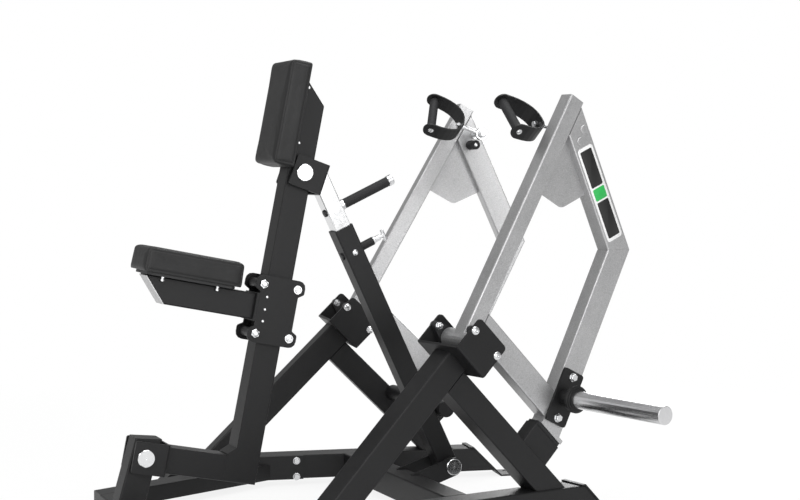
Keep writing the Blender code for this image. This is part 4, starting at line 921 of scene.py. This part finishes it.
def make_floor():
    body = bmesh.new()
    reach = 30.0
    around = ((-reach, -reach), (reach, -reach), (reach, reach), (-reach, reach))
    body.faces.new([body.verts.new((x, y, 0.0)) for x, y in around])
    mesh = bpy.data.meshes.new("floor")
    body.to_mesh(mesh)
    body.free()
    floor = bpy.data.objects.new("floor", mesh)
    bpy.context.scene.collection.objects.link(floor)
    surface, tree, shader = new_material("white floor")
    shader.inputs["Base Color"].default_value = (0.86, 0.86, 0.86, 1.0)
    shader.inputs["Roughness"].default_value = 0.9
    shader.inputs["Specular IOR Level"].default_value = 0.1
    glow = tree.nodes.new("ShaderNodeEmission")
    glow.inputs["Color"].default_value = (1.0, 1.0, 1.0, 1.0)
    # Away from the machine the sweep fades to the background's white, and near it keeps the shadow
    distance = tree.nodes.new("ShaderNodeVectorMath")
    distance.operation = "LENGTH"
    tree.links.new(tree.nodes.new("ShaderNodeNewGeometry").outputs["Position"], distance.inputs[0])
    plain = range_node(tree, distance.outputs["Value"], 1.0, 3.2, 0.86, 1.0)
    seen = math_node(tree, "MULTIPLY", seen_plainly(tree, 0.6), plain)
    blend = tree.nodes.new("ShaderNodeMixShader")
    tree.links.new(seen, blend.inputs["Fac"])
    tree.links.new(shader.outputs["BSDF"], blend.inputs[1])
    tree.links.new(glow.outputs["Emission"], blend.inputs[2])
    tree.links.new(blend.outputs["Shader"], tree.nodes["Material Output"].inputs["Surface"])
    floor.data.materials.append(surface)


def make_world():
    world = bpy.data.worlds.new("studio")
    bpy.context.scene.world = world
    world.use_nodes = True
    tree = world.node_tree
    tree.nodes.clear()
    dim = tree.nodes.new("ShaderNodeBackground")
    dim.inputs["Color"].default_value = (1.0, 1.0, 1.0, 1.0)
    # The studio is bright in front, where a tall reflector stands, and dimmer round the other sides
    toward = tree.nodes.new("ShaderNodeVectorMath")
    toward.operation = "DOT_PRODUCT"
    tree.links.new(tree.nodes.new("ShaderNodeTexCoord").outputs["Generated"], toward.inputs[0])
    toward.inputs[1].default_value = Vector((-0.35, -0.94, 0.10)).normalized()
    tree.links.new(range_node(tree, toward.outputs["Value"], 0.48, 0.86, 0.34, 1.50), dim.inputs["Strength"])
    white = tree.nodes.new("ShaderNodeBackground")
    white.inputs["Color"].default_value = (1.0, 1.0, 1.0, 1.0)
    white.inputs["Strength"].default_value = 1.0
    blend = tree.nodes.new("ShaderNodeMixShader")
    tree.links.new(seen_plainly(tree, 0.10), blend.inputs["Fac"])
    tree.links.new(dim.outputs["Background"], blend.inputs[1])
    tree.links.new(white.outputs["Background"], blend.inputs[2])
    out = tree.nodes.new("ShaderNodeOutputWorld")
    tree.links.new(blend.outputs["Shader"], out.inputs["Surface"])


def area_lamp(name, place, target, size, power):
    lamp = bpy.data.lights.new(name, "AREA")
    lamp.shape = "RECTANGLE"
    lamp.size, lamp.size_y = size
    lamp.energy = power
    holder = bpy.data.objects.new(name, lamp)
    holder.location = place
    holder.rotation_euler = (Vector(target) - Vector(place)).to_track_quat("-Z", "Y").to_euler()
    bpy.context.scene.collection.objects.link(holder)


make_floor()
make_world()
area_lamp("key lamp", (-4.2, -2.6, 2.8), (0.0, 0.0, 0.6), (2.4, 2.4), 80.0)
area_lamp("top lamp", (0.3, -0.4, 4.2), (0.0, 0.0, 0.4), (3.5, 2.5), 95.0)
area_lamp("front lamp", (0.9, -6.2, 1.3), (0.35, 0.4, 0.75), (2.2, 2.6), 60.0)
area_lamp("rim lamp", (2.8, 3.0, 2.4), (0.0, 0.0, 0.6), (1.8, 2.4), 90.0)

camera_data = bpy.data.cameras.new("camera")
camera_data.sensor_width = 36.0
camera_data.lens = 74.25
camera_data.clip_end = 100.0
camera = bpy.data.objects.new("camera", camera_data)
camera.location = (-1.787, -4.500, 0.9914)
camera.rotation_euler = (math.radians(90.0 - 2.686), 0.0, math.radians(-23.239))
bpy.context.scene.collection.objects.link(camera)
bpy.context.scene.camera = camera
bpy.context.scene.view_settings.view_transform = "Standard"
